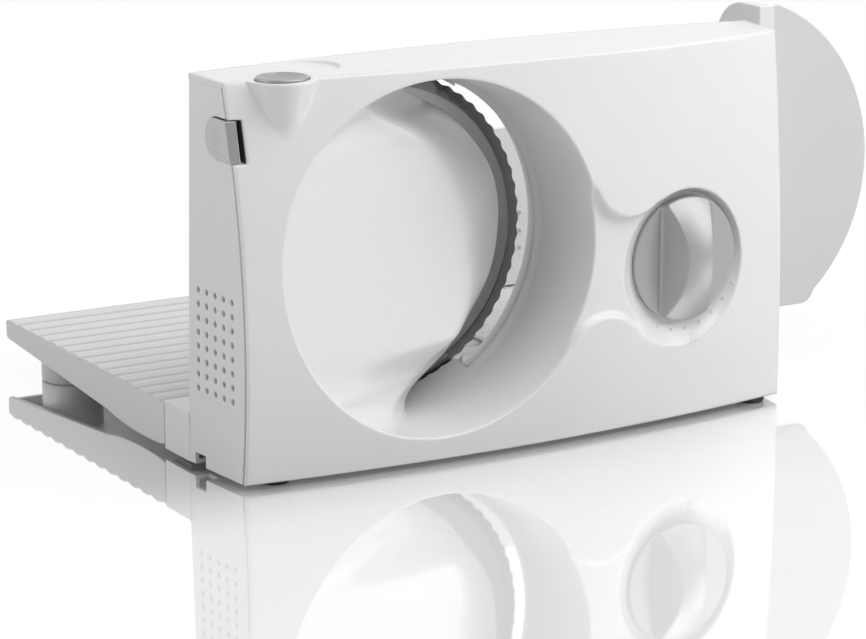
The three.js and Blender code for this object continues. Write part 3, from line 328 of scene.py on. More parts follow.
def at_depth(flat, y):
    """Points of a flat outline in x and z, set at depth y."""
    return np.c_[flat[:, 0], np.broadcast_to(y, len(flat)), flat[:, 1]]


def turned(profile, n, centre=(0.0, 0.0), axis="z"):
    """Points and quads of a turned shape; the profile is (radius, height) and starts and ends on the axis."""
    rows = []
    for r, h in profile:
        ring = circle(whole_turn(n), r, *centre)
        rows.append(np.c_[ring, np.full(n, h)] if axis == "z" else at_depth(ring, h))
    return skin(rows, closed=True)


def dress(node, finish):
    """Give a solid that stays as it is its finish."""
    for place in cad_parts[node].material_slots:
        place.material = finish


rubber = dark_rubber("dark_rubber", (0.028, 0.028, 0.03), 0.72)
pad = rounded([(0, 0), (7.2, 0), (8, 2.6), (2.1, 2.6), (2.1, 8), (0, 8)], 0.7)
rubber_foot = make_piece("rubber_foot", *turned(pad, 40), crease=45, moved=False)
FEET = [(21, 9), (315, 12), (12, 73), (321, 73)]
rubber_feet = repeat("rubber_feet", rubber_foot, [in_place((x, y, 0)) for x, y in FEET], rubber)
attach(rubber_feet, "housing")
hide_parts("front_foot_left", "front_foot_right", "rear_foot_left", "rear_foot_right")
dress("cord_gland", rubber)
dark_plastic = dark_rubber("dark_plastic", (0.05, 0.05, 0.053), 0.5)
dress("switch_block", dark_plastic)

# Housing screws: four cross-recessed pan heads on the rear wall, cold formed in steel and zinc plated. They are
# turned into the front cover and hold the two halves of the body together.
SCREWS = [(10, 120), (10, 40), (319.5, 190), (319.5, 40)]
SHANK_R, SCREW_TOP, CROSS_HALF, CROSS_R, CROSS_DEEP = 1.7, 56.8, 0.42, 2.1, 1.3


def worked_steel(name, colour, rough, spread, scale):
    """Bare metal: fine drawn lines, cloudy tone and uneven gloss."""
    finish, nodes = new_finish(name)
    place = block(nodes, "TexCoord").outputs["Object"]
    stretch = block(nodes, "Mapping", {"Scale": scale, "Vector": place})
    line = block(nodes, "TexNoise", {"Scale": 1.0, "Detail": 6.0, "Vector": stretch})
    tone = block(nodes, "Mix", {"A": tinted(colour, 0.82), "B": tinted(colour, 1.12), "Factor": line},
                 data_type="RGBA")
    gloss = block(nodes, "MapRange", {"To Min": rough, "To Max": rough + spread, "Value": line})
    bump = block(nodes, "Bump", {"Strength": 0.06, "Distance": 0.0001, "Height": line})
    feed(nodes["Principled BSDF"], {"Metallic": 1.0, "Base Color": tone, "Roughness": gloss, "Normal": bump})
    return finish


plain_steel = worked_steel("plain_steel", (0.56, 0.565, 0.57), 0.26, 0.2, (400, 400, 400))
head_turn = whole_turn(32)
screw_rows = [at_depth(circle(head_turn, SHANK_R), 41.0)]
for r, y in ((SHANK_R, 54.8), (3.6, 54.8), (3.6, 55.4), (3.5, 55.9), (3.1, 56.4), (2.5, 56.7), (2.0, SCREW_TOP),
             (1.6, SCREW_TOP), (1.2, SCREW_TOP), (0.8, SCREW_TOP), (0.4, SCREW_TOP), (0.0, SCREW_TOP)):
    ring = circle(head_turn, r)
    in_cross = (np.abs(ring).min(axis=1) < CROSS_HALF) & (r < CROSS_R)
    screw_rows.append(at_depth(ring, np.where(in_cross, y - CROSS_DEEP, y)))
pan_screw = make_piece("pan_screw", *skin(screw_rows, closed=True), ((3, 56.5, 0), (0, 1, 0)), crease=40, moved=False)
base = in_place((0, 0, 0))
housing_screws = repeat("housing_screws", pan_screw, [base + np.array((x, 0, z)) / 1000 for x, z in SCREWS],
                        plain_steel)
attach(housing_screws, "housing")
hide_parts("housing_screw_upper_left", "housing_screw_lower_left", "housing_screw_upper_right",
            "housing_screw_lower_right")

# Drive inside the body: a steel-cased motor turns a worm, the worm turns a moulded wheel on a bronze bush, and a
# plastic frame carries them. The springs, pins and axle are drawn steel. All of it is closed in by the covers.
steel_case = worked_steel("motor_steel", (0.42, 0.425, 0.43), 0.34, 0.18, (30, 900, 900))
bronze = worked_steel("bronze", (0.5, 0.31, 0.13), 0.3, 0.2, (900, 60, 900))
gear_plastic = moulded_plastic("gear_plastic", (0.72, 0.7, 0.63), (0.66, 0.64, 0.57), 0.4, 0.52, 0.06)
dress("motor", steel_case)
dress("axle_bush", bronze)
dress("drive_frame", dark_plastic)
for node in ("worm_wheel", "knob_spindle"):
    dress(node, gear_plastic)
for node in ("worm_shaft", "blade_axle", "power_spring", "safety_spring", "hinge_pin_left", "hinge_pin_right"):
    dress(node, plain_steel)

# Blade: a ground stainless disc with a hollow-ground bevel on the outlet side and a scalloped edge. It seats on the
# wheel hub and is held by the blade lock, a pale plastic cap with a finger bar on the food side.
BLADE_X, BLADE_Z, BLADE_R, BLADE_HOLE, SCALLOPS = 106.0, 108.0, 85.0, 8.0, 60
edge_turn = whole_turn(SCALLOPS * 16)
bite = 0.45 * (1 - np.cos(SCALLOPS * edge_turn))


def blade_row(r, y):
    return at_depth(circle(edge_turn, r, BLADE_X, BLADE_Z), y)


blade_rows = [blade_row(BLADE_HOLE, 52.15), blade_row(BLADE_HOLE, 51.15), blade_row(BLADE_HOLE + 0.15, 51.0)]
blade_rows += [blade_row(r, 51.0 + 0.2 * (r - 8) / 70) for r in (20.0, 36.0, 56.0, 70.0, 77.6)]
for s in (0.0, 0.12, 0.3, 0.5, 0.7, 0.85, 0.94, 1.0):
    blade_rows.append(blade_row(78.0 + (7.0 - bite) * s, 51.2 + 1.5 * s ** 0.9 + 0.1 * bite * s))
blade_rows.append(blade_row(BLADE_R - bite - 0.02, 52.8))
blade_rows += [blade_row(r, 52.3 + 0.5 * (r - 8) / 77) for r in (80.0, 56.0, 30.0, BLADE_HOLE + 0.15)]
blade_rows.append(blade_row(BLADE_HOLE, 52.15))
blade = make_piece("slicing_blade", *skin(blade_rows, closed=True), ((106, 51, 160), (0, -1, 0)), crease=28)

blade_steel, nodes = new_finish("blade_steel")
place = block(nodes, "TexCoord").outputs["Object"]
centred = block(nodes, "Mapping", {"Location": tuple(-in_place((BLADE_X, 52.0, BLADE_Z))), "Vector": place})
flat = block(nodes, "VectorMath", {0: centred, 1: (1, 0, 1)}, operation="MULTIPLY")
radius = block(nodes, "VectorMath", {0: flat}, operation="LENGTH")
grind = block(nodes, "TexNoise", {"Scale": 2600.0, "Detail": 4.0, "W": radius}, noise_dimensions="1D")
smear = block(nodes, "TexNoise", {"Scale": 70.0, "Detail": 5.0, "Vector": place})
tone = block(nodes, "Mix", {"A": (0.3, 0.305, 0.31, 1), "B": (0.42, 0.422, 0.426, 1), "Factor": grind},
             data_type="RGBA")
gloss = block(nodes, "MapRange", {"To Min": 0.16, "To Max": 0.3, "Value": smear})
bump = block(nodes, "Bump", {"Strength": 0.05, "Distance": 0.0001, "Height": grind})
feed(nodes["Principled BSDF"], {"Metallic": 1.0, "Anisotropic": 0.35, "Base Color": tone, "Roughness": gloss,
                                "Normal": bump})
blade.data.materials.append(blade_steel)
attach(blade, "blade_unit")
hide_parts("blade")
pale_plastic = moulded_plastic("pale_plastic", (0.745, 0.745, 0.75), (0.71, 0.711, 0.717), 0.3, 0.42)
blade_lock = from_solid("blade_lock", "blade_lock_cap")
soften(blade_lock, 0.7, 3)
blade_lock.data.materials.append(pale_plastic)
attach(blade_lock, "lock")
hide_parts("blade_lock")

# Front cover: the big white moulding that makes the bowed face, the top, the outlet rim and throat, the waisted
# neck, the knob bowl and the boss under the power button. It is injection moulded and screwed on from behind.
KNOB_X, KNOB_Y, KNOB_Z, KNOB_TILT = 258.4, -4.75, 89.45, math.radians(3.2)
POWER_X, POWER_Y, POWER_HOLE, HOLE_EDGE = 29.0, 11.0, 13.6, 0.6
RIM_X, RIM_Z, RIM_WIDE, RIM_HIGH, RIM_Y = 108.7, 106.2, 88.0, 92.3, -26.0
THROAT_R, THROAT_Y, THROAT_END = 88.5, 38.0, 40.5
LEDGE_RISE, LEDGE_START, LEDGE_RUN, LEDGE_END = 4.0, 34.0, 16.6, 50.6
NECK_UPPER, NECK_LOWER, NECK_R, NECK_DEEP = (219, 143), (204, 41), 25, 4.4
BOWL_R, BOWL_LEAN_X, BOWL_LEAN_Z, BOWL_FLARE, BOWL_DEEP, BOWL_SLOPE = 34.6, -3.3, -3.95, 7.5, 3.85, 0.105
COLLAR_R, COLLAR_FLARE, COLLAR_Z, COLLAR_LOW = 9.2, 0.318, 177.5, 168
NOTCH_LOW, NOTCH_HIGH, NOTCH_IN = 163.05, 183.95, 6.4
EDGE, FRONT_MOST = 1.0, -19.47


def top_z(x):
    """The slightly crowned top."""
    u = np.clip(x / BODY_LENGTH, 0, 1)
    return BODY_TOP + 10.0 * u * (1 - u)


def soft_max(a, b, k):
    h = np.clip(0.5 + 0.5 * (a - b) / k, 0, 1)
    return b + (a - b) * h + k * h * (1 - h)


def soft_step(t):
    t = np.clip(t, 0, 1)
    return t * t * (3 - 2 * t)


def bowl_share(x, z):
    """0 on the knob bowl's floor circle, 1 on its lip, from two circles with different centres."""
    px, pz = x - KNOB_X, z - KNOB_Z
    a = BOWL_LEAN_X ** 2 + BOWL_LEAN_Z ** 2 - BOWL_FLARE ** 2
    b = -2 * (px * BOWL_LEAN_X + pz * BOWL_LEAN_Z + BOWL_R * BOWL_FLARE)
    c = px * px + pz * pz - BOWL_R ** 2
    return (-b - np.sqrt(np.maximum(b * b - 4 * a * c, 0))) / (2 * a)


def face_y(x, z):
    """The front face with the neck, the knob bowl and the power button's boss in it."""
    base = front_y(x, z)
    upper = np.hypot(x - NECK_UPPER[0], z - NECK_UPPER[1]) - NECK_R
    lower = np.hypot(x - NECK_LOWER[0], z - NECK_LOWER[1]) - NECK_R
    across = soft_step((239 - x) / 6) * soft_step((x - 176) / 6)
    along = soft_step((139 - z) / 11) * soft_step((z - 50) / 12)
    neck = base + NECK_DEEP * soft_step(upper / 2.4) * soft_step(lower / 2.4) * across * along
    floor = KNOB_Y + BOWL_DEEP + BOWL_SLOPE * (x - KNOB_X)
    climb = np.clip(bowl_share(x, z), 0, 1.6)
    bowl = base + (floor - base) * (1 - climb ** 1.6)
    y = np.where(climb < 1.5, soft_max(neck, bowl, 0.8), neck)
    reach = COLLAR_R + COLLAR_FLARE * (z - COLLAR_Z)
    across = np.abs(x - POWER_X)
    collar = POWER_Y - np.sqrt(np.maximum(reach ** 2 - across ** 2, 0)) + 6 * np.maximum(across - reach, 0)
    return np.where(z > COLLAR_LOW, -soft_max(-y, -collar, 2.2), y)


def floor_rise(angle, y):
    """How far the ledge under the blade stands in from the throat's floor."""
    low = np.mod(np.degrees(angle), 360)
    climb = LEDGE_RISE * np.clip((y - LEDGE_START) / LEDGE_RUN, 0, 1) ** 1.3
    return climb * soft_step((low - 236) / 10) * soft_step((309 - low) / 6)


def outlet_edge(angle, y, grow=0.0):
    """Outline of the outlet at depth y: an oval rim that narrows to a round throat."""
    s = (y - RIM_Y) / (THROAT_Y - RIM_Y)
    grow = grow - floor_rise(angle, y)
    x = (RIM_X + (RIM_WIDE + grow) * np.cos(angle)) * (1 - s) + (BLADE_X + (THROAT_R + grow) * np.cos(angle)) * s
    z = (RIM_Z + (RIM_HIGH + grow) * np.sin(angle)) * (1 - s) + (BLADE_Z + (THROAT_R + grow) * np.sin(angle)) * s
    return x, z


def outlet_on(angle, surface, grow=0.0):
    """Where the outlet's wall meets a surface y(x, z)."""
    y = np.full_like(angle, -12.0)
    for _ in range(60):
        x, z = outlet_edge(angle, y, grow)
        y = 0.5 * y + 0.5 * surface(x, z)
    return outlet_edge(angle, y, grow)


def roll(d, radius):
    """Set-back of a rounded edge at distance d from it."""
    d = np.minimum(d, radius)
    return radius - np.sqrt(np.maximum(radius ** 2 - (radius - d) ** 2, 0))


def within(points, outline):
    """Which of the flat points lie inside a closed outline."""
    x, z = points[:, 0], points[:, 1]
    inside = np.zeros(len(points), bool)
    for (x0, z0), (x1, z1) in zip(outline, np.roll(outline, -1, axis=0)):
        if z0 != z1:
            inside ^= ((z0 > z) != (z1 > z)) & (x < (x1 - x0) * (z - z0) / (z1 - z0) + x0)
    return inside


def tile(rings, keep, areas):
    """Triangles over a flat area. Rings are (points, closed, set-back); areas are (x0, x1, z0, z1, pitch)."""
    flat = np.vstack([ring for ring, _, _ in rings])
    known = np.concatenate([np.broadcast_to(back, len(ring)) for ring, _, back in rings])
    edges, start = [], 0
    for ring, closed, _ in rings:
        n = len(ring)
        if closed:
            edges += [(start + i, start + (i + 1) % n) for i in range(n)]
        start += n
    near = KDTree(len(flat))
    for i, (x, z) in enumerate(flat):
        near.insert((x, z, 0), i)
    near.balance()
    taken = []
    for k, (x0, x1, z0, z1, pitch) in enumerate(areas):
        rows = np.arange(z0, z1, pitch * 0.866)
        grid = np.array([(x, z) for j, z in enumerate(rows) for x in np.arange(x0 + (j % 2) * pitch / 2, x1, pitch)])
        for a0, a1, b0, b1, _ in areas[:k]:
            grid = grid[~((grid[:, 0] > a0) & (grid[:, 0] < a1) & (grid[:, 1] > b0) & (grid[:, 1] < b1))]
        grid = grid[keep(grid)]
        taken.append(np.array([p for p in grid if near.find((p[0], p[1], 0))[2] > 0.62 * pitch]).reshape(-1, 2))
    flat = np.vstack([flat] + taken)
    known = np.concatenate([known, np.zeros(len(flat) - len(known))])
    corners, _, tris, source, *_ = delaunay_2d_cdt([Vector(p) for p in flat], edges, [], 0, 1e-7)
    back = np.array([max((known[i] for i in s), default=0.0) for s in source])
    corners = np.array([(v.x, v.y) for v in corners])
    tris = np.array([f for f in tris if len(f) == 3])
    return corners, tris[keep(corners[tris].mean(axis=1))], back


def joined(parts):
    """Points and faces of several parts in one."""
    points, faces, count = [], [], 0
    for p, f in parts:
        points.append(p)
        faces += [tuple(int(i) + count for i in face) for face in f]
        count += len(p)
    return np.vstack(points), faces


def give_wall(piece, thickness):
    """Thickness of the moulded wall, added behind the outer skin."""
    wall = piece.modifiers.new("wall", "SOLIDIFY")
    wall.thickness, wall.offset, wall.use_even_offset = thickness / 1000.0, -1.0, False
    wall.use_quality_normals = True


def face_border(d):
    """The face's outline, moved inwards by d, with the safety button's notch in the left edge."""
    low, right, left = BODY_LOW + d, BODY_LENGTH - d, d
    n_low, n_high, n_in = NOTCH_LOW - d, NOTCH_HIGH + d, NOTCH_IN + d
    side = lambda a, b, n: np.linspace(a, b, n, endpoint=False)
    top_x = side(right, left, LONG_STEPS)
    return np.vstack([
        np.c_[side(left, right, LONG_STEPS), np.full(LONG_STEPS, low)],
        np.c_[np.full(RIGHT_STEPS, right), side(low, top_z(right) - d, RIGHT_STEPS)],
        np.c_[top_x, top_z(top_x) - d],
        np.c_[np.full(9, left), side(top_z(left) - d, n_high, 9)],
        np.c_[side(left, n_in, 5), np.full(5, n_high)],
        np.c_[np.full(12, n_in), side(n_high, n_low, 12)],
        np.c_[side(n_in, left, 5), np.full(5, n_low)],
        np.c_[np.full(75, left), side(n_low, low, 75)],
    ])


LONG_STEPS, RIGHT_STEPS = 150, 90
TOP_PART = slice(LONG_STEPS + RIGHT_STEPS, 2 * LONG_STEPS + RIGHT_STEPS + 1)
EDGE_STEPS = (0.0, 0.06, 0.22, 0.5, EDGE, 1.8)
turn = whole_turn(360)
rim_x, rim_z = outlet_on(turn, lambda x, z: face_y(x, z) + EDGE)
rim = np.c_[rim_x, rim_z]
rings = [(face_border(d), d == 0.0, roll(d, EDGE)) for d in EDGE_STEPS]
for d in EDGE_STEPS:
    ring = np.c_[outlet_on(turn, lambda x, z: face_y(x, z) + roll(d, EDGE), d)]
    rings.append((ring, d == 0.0, roll(d, EDGE)))
for t in (-0.06, 0.0, 0.06, 0.15, 0.5, 0.85, 0.94, 1.0, 1.06):
    ring = circle(whole_turn(220), BOWL_R + BOWL_FLARE * t, KNOB_X + BOWL_LEAN_X * t, KNOB_Z + BOWL_LEAN_Z * t)
    rings.append((ring, False, 0.0))
outline = rings[0][0]
face_flat, face_tris, back = tile(rings, lambda p: within(p, outline) & ~within(p, rim),
                                  [(2, 62, 168, 200.6, 1.0), (172, 304, 36, 156, 1.3), (1, 329, 4, 204, 3.0)])
parts = [(at_depth(face_flat, face_y(*face_flat.T) + back), face_tris)]

rim_y = face_y(rim_x, rim_z) + EDGE
open_side = (turn < math.radians(116)) | (turn > math.radians(242))
turn_degrees = np.degrees(turn)
longer = 5.0 * soft_step((turn_degrees - 59) / 7) * soft_step((115 - turn_degrees) / 6)
throat_end = np.where(open_side, THROAT_END + longer, rim_y + 9.0)
lip_on = np.where(turn_degrees < 180, soft_step((114 - turn_degrees) / 6), soft_step((turn_degrees - 303) / 5))
throat = []
for share in (*np.linspace(0, 0.91, 14), 0.93, 0.95, 0.97, 0.99, 1.0):
    y = rim_y + (throat_end - rim_y) * share
    x, z = outlet_edge(turn, y, -1.5 * lip_on * np.clip((y - throat_end + 4.6) / 4.6, 0, 1))
    throat.append(np.c_[x, y, z])
parts.append(skin(throat, closed=True))
ledge_turn = turn[(turn >= math.radians(242)) & (turn <= math.radians(302))]
ledge = []
for i in range(13):
    y = THROAT_END + (LEDGE_END - THROAT_END) * i / 12
    ledge.append(at_depth(np.c_[outlet_edge(ledge_turn, y)], y))
parts.append(skin(ledge))

skirt = np.roll(outline, -TOP_PART.stop, axis=0)[: len(outline) - LONG_STEPS]
skirt_deep = np.where(skirt[:, 0] < 0.5, 0.5, 1.5)
parts.append(skin([at_depth(skirt, face_y(*skirt.T) + EDGE + skirt_deep * i / 2) for i in range(3)]))

lip_x = outline[TOP_PART, 0]
lip_y = face_y(lip_x, outline[TOP_PART, 1]) + EDGE


def top_outline(d):
    """Outline of the top, moved inwards by d except along the front lip."""
    right_y = np.linspace(lip_y[0], REAR_Y - d, 24, endpoint=False)[1:]
    right_x = BODY_LENGTH + 7.5 * (right_y - lip_y[0]) / (REAR_Y - lip_y[0]) - d
    rear_x = np.linspace(BODY_REAR_LENGTH - d, d, 130, endpoint=False)
    left_y = np.linspace(REAR_Y - d, lip_y[-1], 22, endpoint=False)
    return np.vstack([np.c_[lip_x, lip_y][::-1], np.c_[right_x, right_y], np.c_[rear_x, np.full(130, REAR_Y - d)],
                      np.c_[np.full(22, d), left_y]])


top_edge = top_outline(0.0)
top_rings = [(top_edge, True, np.where(np.arange(len(top_edge)) < len(lip_x), 0.0, EDGE))]
top_rings += [(top_outline(d)[len(lip_x):], False, roll(d, EDGE)) for d in (0.06, 0.22, 0.5, EDGE)]
hole_turn = whole_turn(96)
hole_edge = circle(hole_turn, POWER_HOLE, POWER_X, POWER_Y)
for d in (0.0, 0.06, 0.25, HOLE_EDGE):
    top_rings.append((circle(hole_turn, POWER_HOLE + d, POWER_X, POWER_Y), d == 0.0, roll(d, HOLE_EDGE)))
REST_X, REST_Y, REST_R, REST_Z, REST_LEAN = 54.0, 33.0, 17.0, 202.4, 0.03
for r in (REST_R + 0.25, REST_R - 0.05, REST_R - 0.4, REST_R - 1.2):
    top_rings.append((circle(hole_turn, r, REST_X, REST_Y), False, 0.0))
top_flat, top_tris, sunk = tile(top_rings, lambda p: within(p, top_edge) & ~within(p, hole_edge),
                                [(34, 74, 13, 53, 1.8), (0, 337, -20, 55, 3.4)])
rest_r = np.hypot(top_flat[:, 0] - REST_X, top_flat[:, 1] - REST_Y)
rest = np.maximum(top_z(top_flat[:, 0]) - (REST_Z - REST_LEAN * (top_flat[:, 0] - REST_X)), 0)
rest = rest * np.clip((REST_R - rest_r) / 0.35, 0, 1)
parts.append((np.c_[top_flat, top_z(top_flat[:, 0]) - sunk - rest], top_tris))
hang = np.vstack([top_edge[len(lip_x) - 1:], top_edge[:1]])
ends = np.arange(len(hang)) % (len(hang) - 1) == 0
parts.append(skin([np.c_[hang, top_z(hang[:, 0]) - np.where(ends, 0, EDGE) - 2.5 * i / 2] for i in range(3)]))
parts.append(skin([np.c_[hole_edge, top_z(hole_edge[:, 0]) - HOLE_EDGE - 1.0 * i] for i in range(4)], closed=True))
points, faces = joined(parts)
points[:, 1] = np.maximum(points[:, 1], FRONT_MOST)
front_cover = make_piece("front_cover_moulding", points, faces, ((200, -20, 20), (0, -1, 0)))
give_wall(front_cover, 1.3)
front_cover.data.materials.append(white_plastic)
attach(front_cover, "housing")
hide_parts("front_cover")

# Blade cover: a smooth white shield in the outlet. It starts flush with the front on the ventilated side, sinks
# towards the blade, rolls back to a round edge and runs into the throat with a hollow. Moulded, clipped in.
COVER_X, COVER_Z, COVER_R, COVER_BEND, COVER_EDGE_Y = 105.4, 113.9, 67.1, math.radians(38), 47.0


def cover_left(z):
    """Where the shield starts, on the outlet's rim."""
    q = np.clip((z - RIM_Z) / RIM_HIGH, -0.72, 0.62)
    return RIM_X - RIM_WIDE * np.sqrt(1 - q * q)


def cover_right(z):
    """The shield's round edge by the blade, which runs out straight at the foot."""
    rise = z - COVER_Z
    low = -COVER_R * math.sin(COVER_BEND)
    arc = COVER_X + np.sqrt(COVER_R ** 2 - np.clip(rise, low, 62) ** 2)
    edge = arc + math.tan(COVER_BEND) * np.minimum(rise - low, 0) - 2 * np.maximum(rise - 62, 0)
    return edge - 9 * soft_step((50 - z) / 26)


def cover_y(x, z):
    """Depth of the shield: a gentle slope in from the rim, then a bend and a steeper fall to the round edge."""
    left, right = cover_left(z), cover_right(z)
    rim_depth = front_y(left, np.clip(z, 20, 190)) + EDGE
    edge_y = COVER_EDGE_Y - 1.2 * np.maximum(z - COVER_Z - 62, 0)
    edge_y = edge_y - 4.3 * soft_step((160 - z) / 26) - 6.0 * soft_step((110 - z) / 55)
    slope = 0.5 - 0.31 * soft_step((z - 35) / 27)
    bend_at = 21 + 14 * soft_step((z - 62) / 45) + 6 * soft_step((z - 100) / 60)
    bend = 11.0
    steep = (edge_y - rim_depth - slope * (right - left - bend_at)) / bend_at
    reach = np.maximum(right - x, 0)
    turned_by = np.clip((reach - bend_at + bend / 2) / bend, 0, 1)
    drop = steep * np.minimum(reach, bend_at - bend / 2) + slope * np.maximum(reach - bend_at - bend / 2, 0)
    return edge_y - drop - bend * (steep * turned_by - (steep - slope) * turned_by ** 2 / 2)


def wall_gap(x, y, z):
    """Distance from the outlet's wall at depth y, square to the wall, and the angle there."""
    s = (y - RIM_Y) / (THROAT_Y - RIM_Y)
    dx, dz = x - RIM_X * (1 - s) - BLADE_X * s, z - RIM_Z * (1 - s) - BLADE_Z * s
    wide, high = RIM_WIDE * (1 - s) + THROAT_R * s, RIM_HIGH * (1 - s) + THROAT_R * s
    angle = np.mod(np.arctan2(dz / high, dx / wide), 2 * math.pi)
    return (1 - np.hypot(dx / wide, dz / high)) * (wide + high) / 2 - floor_rise(angle, y), angle


arc = np.radians(np.linspace(60, 300, 480))
arc_x, arc_z = outlet_on(arc, cover_y)
hollow_r = np.clip(0.75 * (cover_y(arc_x, arc_z) - front_y(arc_x, arc_z) - EDGE), 0.3, 12.0)


def hollow(angle):
    """Radius of the hollow between the shield and the outlet's wall."""
    return np.interp(angle, arc, hollow_r)


def shield_y(x, z):
    """The shield with the hollow that leads it up the outlet's wall."""
    y = cover_y(x, z)
    for _ in range(3):
        gap, angle = wall_gap(x, y, z)
        y = cover_y(x, z) - roll(np.maximum(gap, 0), hollow(angle))
    return y


cover_rings = []
for d in (0.0, 0.03, 0.12, 0.3, 0.6, 1.0, 1.6, 2.4, 3.4, 4.8, 6.6, 9.0, 12.0):
    ring_r = hollow(arc)
    x, z = outlet_on(arc, lambda x, z: cover_y(x, z) - roll(d, ring_r), -d)
    inside = (x < cover_right(z) - (0.0 if d == 0.0 else 0.4)) & ((d < ring_r) | (d < 1.7))
    cover_rings.append((np.c_[x, z][inside], False, np.maximum(roll(d, ring_r), 1e-9)[inside]))
loop, _, loop_back = cover_rings[0]
edge_z = np.linspace(loop[-1, 1], loop[0, 1], 190)[1:-1]
cover_loop = np.vstack([loop, np.c_[cover_right(edge_z), edge_z]])
cover_rings[0] = (cover_loop, True, np.concatenate([loop_back, np.zeros(len(edge_z))]))
for reach in (0.4, 1.0, 2.0, 3.5, 5.2, *np.arange(7.0, 48.0, 2.0)):
    ring = np.c_[cover_right(edge_z) - reach, edge_z]
    gap, angle = wall_gap(ring[:, 0], cover_y(*ring.T), ring[:, 1])
    cover_rings.append((ring[gap > np.minimum(hollow(angle), 4.0) + 0.8], False, 0.0))
cover_flat, cover_tris, back = tile(cover_rings, lambda p: within(p, cover_loop), [(10, 190, 8, 206, 2.2)])
depth = np.where(back > 0, cover_y(*cover_flat.T) - back, shield_y(*cover_flat.T))
blade_cover = make_piece("blade_cover_shield", at_depth(cover_flat, depth), cover_tris, ((60, -10, 108), (0, -1, 0)))
give_wall(blade_cover, 1.4)
blade_cover.data.materials.append(white_plastic)
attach(blade_cover, "housing")
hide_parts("blade_cover")

# Buttons: a round dished power button in the top and a rounded safety button in the ventilated end. Both are
# moulded plastic with a satin silver coat and sit on their own springs.


def silver_coat(name, colour, rough):
    """Satin silver lacquer: fine bright flakes in a cloudy grey, with paler rubbed edges."""
    finish, nodes = new_finish(name)
    place = block(nodes, "TexCoord").outputs["Object"]
    flake = block(nodes, "TexVoronoi", {"Scale": 3800.0, "Vector": place})
    tone = block(nodes, "Mix", {"A": tinted(colour, 1.08), "B": tinted(colour, 0.9), "Factor": flake},
                 data_type="RGBA")
    worn = block(nodes, "NewGeometry").outputs["Pointiness"]
    edge = block(nodes, "MapRange", {"From Min": 0.53, "From Max": 0.7, "To Max": 0.5, "Value": worn})
    rub = block(nodes, "Mix", {"A": tone, "B": tinted(colour, 1.3, 0.9), "Factor": edge}, data_type="RGBA")
    cloud = block(nodes, "TexNoise", {"Scale": 90.0, "Detail": 4.0, "Vector": place})
    gloss = block(nodes, "MapRange", {"To Min": rough, "To Max": rough + 0.1, "Value": cloud})
    bump = block(nodes, "Bump", {"Strength": 0.05, "Distance": 0.0001, "Height": flake})
    feed(nodes["Principled BSDF"], {"Metallic": 0.7, "Base Color": rub, "Roughness": gloss, "Normal": bump})
    return finish


silver = silver_coat("silver_plastic", (0.47, 0.47, 0.475), 0.22)
cap = rounded([(0, 186), (3.2, 186), (3.2, 199.6), (11, 199.6), (11, 198.4), (13.2, 198.4), (13.2, 203.0),
               (12.7, 203.5), (11.5, 203.45), (10.9, 202.9), (9.4, 202.5), (8.9, 202.1), (5, 201.7), (0, 201.6)], 0.4)
power_button = make_piece("power_button_cap", *turned(cap, 96, (POWER_X, POWER_Y)), crease=60)
power_button.data.materials.append(silver_coat("power_silver", (0.4, 0.4, 0.405), 0.32))
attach(power_button, "power")
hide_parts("power_button")
safety_button = from_solid("safety_button", "safety_button_cap")
soften(safety_button, 0.5, 3)
safety_button.data.materials.append(silver)
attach(safety_button, "safety")
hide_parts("safety_button")
# A thin upright sheet of dark plastic behind the safety button in its pocket: painted shade, a dark sheet standing for
# the shadow in the gap round the button.
SHADOW_OUT, SHADOW_IN, SHADOW_BACK, SHADOW_STEPS = 6.12, 6.36, 15.2, 14
shadow_z = np.linspace(163.5, 183.5, SHADOW_STEPS)
shadow_y = face_y(np.full(SHADOW_STEPS, 6.3), shadow_z) + 1.2
shadow_rows = [at_depth(np.c_[np.full(SHADOW_STEPS, x), shadow_z], y)
             for x, y in ((SHADOW_OUT, shadow_y), (SHADOW_OUT, SHADOW_BACK), (SHADOW_IN, SHADOW_BACK), (SHADOW_IN, shadow_y))]
shadow_ends = [tuple(range(end, 4 * SHADOW_STEPS, SHADOW_STEPS)) for end in (0, SHADOW_STEPS - 1)]
points, sides = skin(shadow_rows + shadow_rows[:1])
pocket_shadow_liner = make_piece("safety_pocket_seal", points, sides + shadow_ends, ((SHADOW_OUT, 12, 173), (-1, 0, 0)), crease=40)
pocket_shadow_liner.data.materials.append(dark_plastic)
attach(pocket_shadow_liner, "housing")

# Thickness knob: a silver-coated dial with a domed grip left standing between two finger scoops. It turns in the
# bowl on its spindle. The raised ticks and the small pointer beside it are moulded in white.
KNOB_R, GRIP_HIGH, GRIP_HALF, DIAL_EDGE = 33.3, 14.64, 15.4, 0.8


def grip_rise(a, c):
    """Height of the knob's front over its dial: a dome cut off by two leaning walls."""
    dome = 14.7 - 0.01144 * (a * a + c * c)
    wall = (GRIP_HALF - np.abs(a)) / 0.51
    rise = soft_max(-soft_max(-dome, -wall, 1.0), np.zeros_like(a), 1.2)
    return rise - 0.3 * np.exp(-((np.abs(a) - GRIP_HALF) / 1.5) ** 2)


